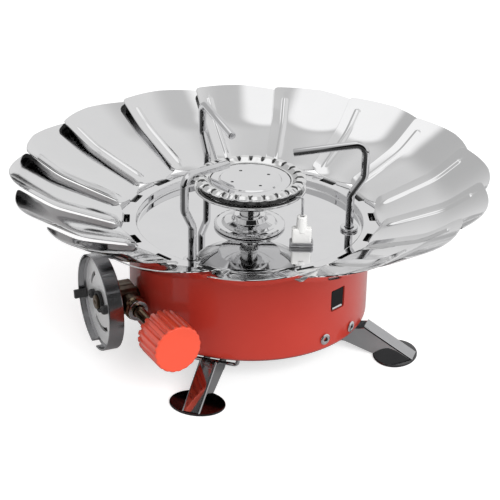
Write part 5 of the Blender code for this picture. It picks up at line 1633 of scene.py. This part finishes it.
@dataclass
class Legs:
    """Three pressed legs with oval feet, on wire staples under the drum.

    The ridge holds where the channel's crest starts and its toe, each with its height.
    """

    angles: Three = (-107.0, -18.0, 118.0)
    width: float = 0.0086
    sheet: float = 0.0008
    bend: float = 0.0012
    pivot: Pair = (0.0500, 0.0086)
    knuckle: float = 0.0038
    ridge: tuple[Pair, Pair] = ((0.0584, 0.0146), (0.0842, 0.0010))
    ridge_start: float = 0.06
    ridge_points: int = 13
    heel: Pair = (0.0640, 0.0010)
    toe_heights: Pair = (0.0001, 0.0002)
    shoulder: Pair = (0.0545, 0.0123)
    foot: tuple[float, ...] = (0.0747, 0.0105, 0.0130, 0.0010)
    staple: Three = (0.0009, 0.0110, 0.0020)
    staple_end: tuple[Pair, ...] = ((0.0, 0.0), (0.0, 0.8), (0.0003, 1.0))
    staple_top: float = 0.0155
    # painted shade on each leg's foot, standing in for the shadowed underside that it reflects
    foot_painted_shade: Three = (0.85, 0.8, 0.2)

    def side_lines(self) -> tuple[np.ndarray, np.ndarray]:
        """Return the channel's lower and upper lines, from knuckle to toe, column by column."""
        (start, high), (toe, low) = self.ridge
        bottom = arc(self.pivot, self.knuckle, 180.0, 280.0, 8)
        top = arc(self.pivot, self.knuckle, 180.0, 80.0, 8)
        crest = (start + (toe - start) * self.ridge_start, high - self.bend)
        end = (toe, max(low - self.bend, self.toe_heights[1]))
        upper = np.vstack((top, self.split([tuple(top[-1]), self.shoulder, crest], 5)[1:],
                           np.linspace(crest, end, self.ridge_points)[1:]))
        count = len(upper) - len(bottom)
        spread = self.split([tuple(bottom[-1]), self.heel, (toe, self.toe_heights[0])], 60)
        reach = np.linspace(0.0, len(spread) - 1.0, count + 1)
        lower = np.vstack((bottom, spread[np.round(reach).astype(int)][1:]))
        return lower, upper

    @staticmethod
    def split(marks: Sequence[Pair], parts: int) -> np.ndarray:
        """Return points along a polyline, the same number on each span."""
        spans = [np.linspace(a, b, parts + 1)[:-1] for a, b in zip(marks, marks[1:])]
        return np.vstack((*spans, [marks[-1]]))

    def channel(self) -> list[Grid]:
        """Return the channel's outer sheet: two side walls, joined by a round-edged top."""
        lower, upper = self.side_lines()
        half, bend = self.width / 2.0, self.bend
        flat = lower + (upper - lower) * np.linspace(0.0, 1.0, 5)[:, None, None]
        walls = [np.stack((flat[..., 0], np.full(flat.shape[:2], side * half), flat[..., 1]), -1)
                 for side in (-1.0, 1.0)]
        line = upper[-self.ridge_points:]
        turn = np.radians(np.linspace(0.0, 90.0, 6))
        across = np.concatenate((-half + bend - bend * np.cos(turn),
                                 half - bend + bend * np.cos(turn[::-1])))
        lift = np.concatenate((np.sin(turn), np.sin(turn[::-1]))) * bend
        top = np.broadcast_arrays(line[:, 0][None], across[:, None],
                                  line[:, 1][None] + lift[:, None])
        return [*walls, np.stack(top, -1)]

    def foot_grid(self) -> Grid:
        """Return the flat oval foot with a round rim."""
        centre, half_length, half_width, thick = self.foot
        turn = np.linspace(0.0, 2.0 * math.pi, 73)

        def outline(inset: float) -> np.ndarray:
            """Return the oval drawn in by an inset."""
            return np.column_stack((centre + (half_length - inset) * np.cos(turn),
                                    (half_width - inset) * np.sin(turn)))

        return lofted(outline, pillow(0.0, thick, 0.0004))

    def staple_grid(self) -> Grid:
        """Return the bent wire that the leg turns on, with its ends up in the drum's base."""
        radius, half, bend = self.staple
        pivot, end = self.pivot[1], self.staple_top
        corners = ((0.0, -half, end), (0.0, -half, pivot), (0.0, half, pivot), (0.0, half, end))
        return rod(rounded(corners, bend, 8), radius, (1.0, 0.0, 0.0), self.staple_end, 16)

    def build(self, shop: Workshop) -> None:
        """Make the legs and staples."""
        channel, foot, staple = self.channel(), self.foot_grid(), self.staple_grid()
        for index, (angle, dark) in enumerate(zip(self.angles, self.foot_painted_shade)):
            place = Place.upright(angle)
            name, node = f"leg_{index + 1}", f"leg_staple_{index + 1}"
            shop.piece(f"{name}_channel", [place.carry(grid) for grid in channel], Finishes.LEG,
                       name, [name], self.sheet, tuple(heading(angle) * 0.6 + (0.0, 0.0, 0.8)))
            # the foot is evenly darkened by painted shade
            shop.piece(f"{name}_foot", [place.carry(foot)], Finishes.LEG, name, [name],
                       shade=lambda point, normal, dark=dark: np.full(len(point), dark))
            shop.piece(f"{node}_wire", [Place.upright(angle, self.pivot[0]).carry(staple)],
                       Finishes.BRIGHT, "stove", [node])


# ---------------------------------------------------------------- studio


@dataclass(frozen=True)
class PhotoCamera:
    """The camera that saw the stove, in front of it and above it.

    Attributes:
        place: where the lens is.
        tilt: how far the camera looks down.
        roll: how far it leans to one side.
        lens: focal length in millimetres.
        sensor: the sensor's width in millimetres.
        shift: the picture's shift across and up.
    """

    place: Three = (0.0, -0.6732, 0.3773)
    tilt: float = 25.24
    roll: float = 1.21
    lens: float = 112.28
    sensor: float = 36.0
    shift: Pair = (0.0007, -0.0647)

    def build(self) -> None:
        """Place the camera and make it the scene's own."""
        tilt, roll = math.radians(self.tilt), math.radians(self.roll)
        forward = Vector((0.0, math.cos(tilt), -math.sin(tilt)))
        up = Vector((0.0, math.sin(tilt), math.cos(tilt)))
        right = Vector((1.0, 0.0, 0.0))
        across = right * math.cos(roll) + up * math.sin(roll)
        above = up * math.cos(roll) - right * math.sin(roll)
        data = bpy.data.cameras.new("photo_camera")
        data.lens = self.lens
        data.sensor_width = self.sensor
        data.shift_x, data.shift_y = self.shift
        camera = new_object("photo_camera", data)
        stand = Matrix((across, above, -forward)).transposed().to_4x4()
        stand.translation = Vector(self.place)
        camera.matrix_world = stand
        bpy.context.scene.camera = camera


@dataclass(frozen=True)
class Studio:
    """A pale floor, a soft room round it and one large lamp.

    Attributes:
        floor_size: the floor's side.
        floor_drop: how far it lies below the feet.
        floor_tone: its colour.
        floor_glow: what it adds where it is seen.
        floor_fade: from where to where, towards the back, its reflection goes from dark to pale.
        floor_dark: how dark that reflection is in front.
        fill: how strongly the room lights a matt surface.
        lamp: the key lamp's power in watts.
        lamp_size: its width and height.
        lamp_spot: where it hangs.
        lamp_aim: the height of the point that it faces.
        backdrop: the backdrop's brightness at its left and at its right.
        backdrop_edge: from where to where, across, it goes from the one to the other.
        ceiling: how much of it is left high up.
        ceiling_edge: from where to where it dims.
        panel_way: where the upper white panel's middle is.
        panel_edge: the cosines of its edge, outside and inside.
        key_way, key_edge: the same of the panel in front.
        panel_glow: how bright both are.
        dark_way, dark_edge: the same of the dark side.
        dark_glow: how bright that is.
    """

    floor_size: float = 8.0
    floor_drop: float = 0.00002
    floor_tone: float = 0.70
    floor_glow: float = 0.58
    floor_fade: Pair = (-0.16, 0.02)
    floor_dark: float = 0.92
    fill: float = 0.72
    lamp: float = 9.0
    lamp_size: Pair = (0.9, 0.6)
    lamp_spot: Three = (0.50, -0.75, 0.60)
    lamp_aim: float = 0.05
    backdrop: Pair = (0.53, 0.80)
    backdrop_edge: Pair = (-0.5, -0.05)
    ceiling: float = 0.77
    ceiling_edge: Pair = (0.78, 0.93)
    panel_way: Three = (-0.25, 0.05, 0.967)
    panel_edge: Pair = (0.90, 0.955)
    key_way: Three = (0.20, -0.50, 0.84)
    key_edge: Pair = (0.88, 0.94)
    panel_glow: float = 1.08
    dark_way: Three = (0.20, -0.93, 0.30)
    dark_edge: Pair = (0.78, 0.88)
    dark_glow: float = 0.015

    def build(self) -> None:
        """Make the floor, the room and the lamp."""
        bpy.context.scene.view_settings.view_transform = "Standard"
        self.build_floor()
        self.build_room()
        self.build_lamp()

    def build_floor(self) -> None:
        """Lay the floor.

        Seen directly it is white, it keeps the stove's shadow, and what shines sees it fall
        into the dark in front of the stove.
        """
        side = np.linspace(-self.floor_size / 2.0, self.floor_size / 2.0, 3)
        mesh = bpy.data.meshes.new("floor")
        flat = np.stack(np.meshgrid(side, side), -1)
        weld_grids(mesh, [raised(flat, -self.floor_drop)], UP)
        floor = new_object("floor", mesh)
        paper = bpy.data.materials.new("floor_paper")
        paper.use_nodes = True
        nodes, links = paper.node_tree.nodes, paper.node_tree.links
        shader = nodes["Principled BSDF"]
        for label, value in (("Roughness", 0.9), ("Specular IOR Level", 0.0),
                             ("Emission Color", (1.0, 1.0, 1.0, 1.0))):
            shader.inputs[label].default_value = value
        path, place = new_node(nodes, "LightPath"), new_node(nodes, "TexCoord")
        split = new_node(nodes, "SeparateXYZ")
        near = ramp_node(nodes, self.floor_fade, (self.floor_dark, 0.0))
        mirrored = number_node(nodes, "MULTIPLY")
        tone = tone_node(nodes, (self.floor_tone,) * 3, (0.0, 0.0, 0.0))
        seen = number_node(nodes, "MAXIMUM")
        glow = number_node(nodes, "MULTIPLY", self.floor_glow)
        wire(links, (place, "Object", split, 0), (split, "Y", near, "Value"),
             (near, "Result", mirrored, 0), (path, "Is Glossy Ray", mirrored, 1),
             (mirrored, 0, tone, "Factor"), (tone, "Result", shader, "Base Color"),
             (path, "Is Camera Ray", seen, 0), (path, "Is Transmission Ray", seen, 1),
             (seen, 0, glow, 0), (glow, 0, shader, "Emission Strength"))
        mesh.materials.append(paper)

    def build_room(self) -> None:
        """Make the room: white where it is seen, even where it lights, a studio where it shines.

        A shiny surface sees a grey backdrop that darkens to the left, white panels overhead
        and in front, and the dark side of the studio behind the camera.
        """
        world = bpy.data.worlds.new("soft_room")
        bpy.context.scene.world = world
        world.use_nodes = True
        nodes, links = world.node_tree.nodes, world.node_tree.links
        place, path = new_node(nodes, "TexCoord"), new_node(nodes, "LightPath")
        full = (0.0, 1.0)
        backdrop, panel, key, dark, high = (
            self.facing(world.node_tree, place, *ramp)
            for ramp in (((1.0, 0.0, 0.0), self.backdrop_edge, self.backdrop),
                         (self.panel_way, self.panel_edge, full),
                         (self.key_way, self.key_edge, full),
                         (self.dark_way, self.dark_edge, full),
                         (UP, self.ceiling_edge, (1.0, self.ceiling))))
        dimmed, either, seen = (number_node(nodes, operation)
                                for operation in ("MULTIPLY", "MAXIMUM", "MAXIMUM"))
        lit, shaded, glossy, shown = (
            self.mix(nodes, *levels) for levels in ((0.0, self.panel_glow), (0.0, self.dark_glow),
                                                    (self.fill, 0.0), full))
        wire(links, (backdrop, "Result", dimmed, 0), (high, "Result", dimmed, 1),
             (panel, "Result", either, 0), (key, "Result", either, 1),
             (either, 0, lit, "Factor"), (dimmed, 0, lit, "A"),
             (dark, "Result", shaded, "Factor"), (lit, "Result", shaded, "A"),
             (path, "Is Glossy Ray", glossy, "Factor"), (shaded, "Result", glossy, "B"),
             (path, "Is Camera Ray", seen, 0), (path, "Is Transmission Ray", seen, 1),
             (seen, 0, shown, "Factor"), (glossy, "Result", shown, "A"),
             (shown, "Result", nodes["Background"], "Strength"))
        nodes["Background"].inputs["Color"].default_value = (1.0, 1.0, 1.0, 1.0)

    @staticmethod
    def facing(
        tree: bpy.types.NodeTree, place: bpy.types.Node, way: Three, edge: Pair, levels: Pair
    ) -> bpy.types.Node:
        """Place a smooth ramp over how nearly a ray points along a direction.

        Args:
            tree: the world's nodes.
            place: the node that puts out the ray's direction.
            way: the direction.
            edge: the cosines from which to which the ramp runs.
            levels: what it puts out at each.

        Returns:
            The ramp's node.
        """
        ramp = ramp_node(tree.nodes, edge, levels)
        dot = new_node(tree.nodes, "VectorMath", operation="DOT_PRODUCT")
        dot.inputs[1].default_value = tuple(Vector(way).normalized())
        wire(tree.links, (place, "Generated", dot, 0), (dot, "Value", ramp, "Value"))
        return ramp

    @staticmethod
    def mix(nodes: bpy.types.Nodes, first: float, second: float) -> bpy.types.Node:
        """Place a mix of two numbers."""
        node = new_node(nodes, "Mix", data_type="FLOAT")
        node.inputs["A"].default_value, node.inputs["B"].default_value = first, second
        return node

    def build_lamp(self) -> None:
        """Hang the key lamp, above and in front of the stove."""
        data = bpy.data.lights.new("key_panel", "AREA")
        data.shape = "RECTANGLE"
        data.size, data.size_y = self.lamp_size
        data.energy = self.lamp
        lamp = new_object("key_panel", data)
        spot = Vector(self.lamp_spot)
        away = spot - Vector((0.0, 0.0, self.lamp_aim))
        lamp.matrix_world = (Matrix.Translation(spot)
                             @ away.to_track_quat("Z", "Y").to_matrix().to_4x4())
        lamp.visible_glossy = False


def main() -> None:
    """Build the stove piece by piece and set it in its studio."""
    logging.basicConfig(level=logging.INFO, format="%(message)s")
    PhotoCamera().build()
    Studio().build()
    shop = Workshop()
    for assembly in (Drum(), TopPlate(), Petals(), PotSupports(), Burner(), Valve(), Flange(),
                     Igniter(), Legs()):
        before = shop.count
        assembly.build(shop)
        LOG.info("%s: %d pieces", type(assembly).__name__, shop.count - before)
    for node, finish in (("gas_jet", Finishes.BRASS), ("gas_pipe", Finishes.BRASS),
                         ("wall_nut", Finishes.BRIGHT), ("igniter_body", Finishes.BLACK),
                         ("igniter_bracket", Finishes.BRIGHT), ("ignition_lead", Finishes.LEAD)):
        shop.dress(node, finish)


if __name__ == "__main__":
    main()
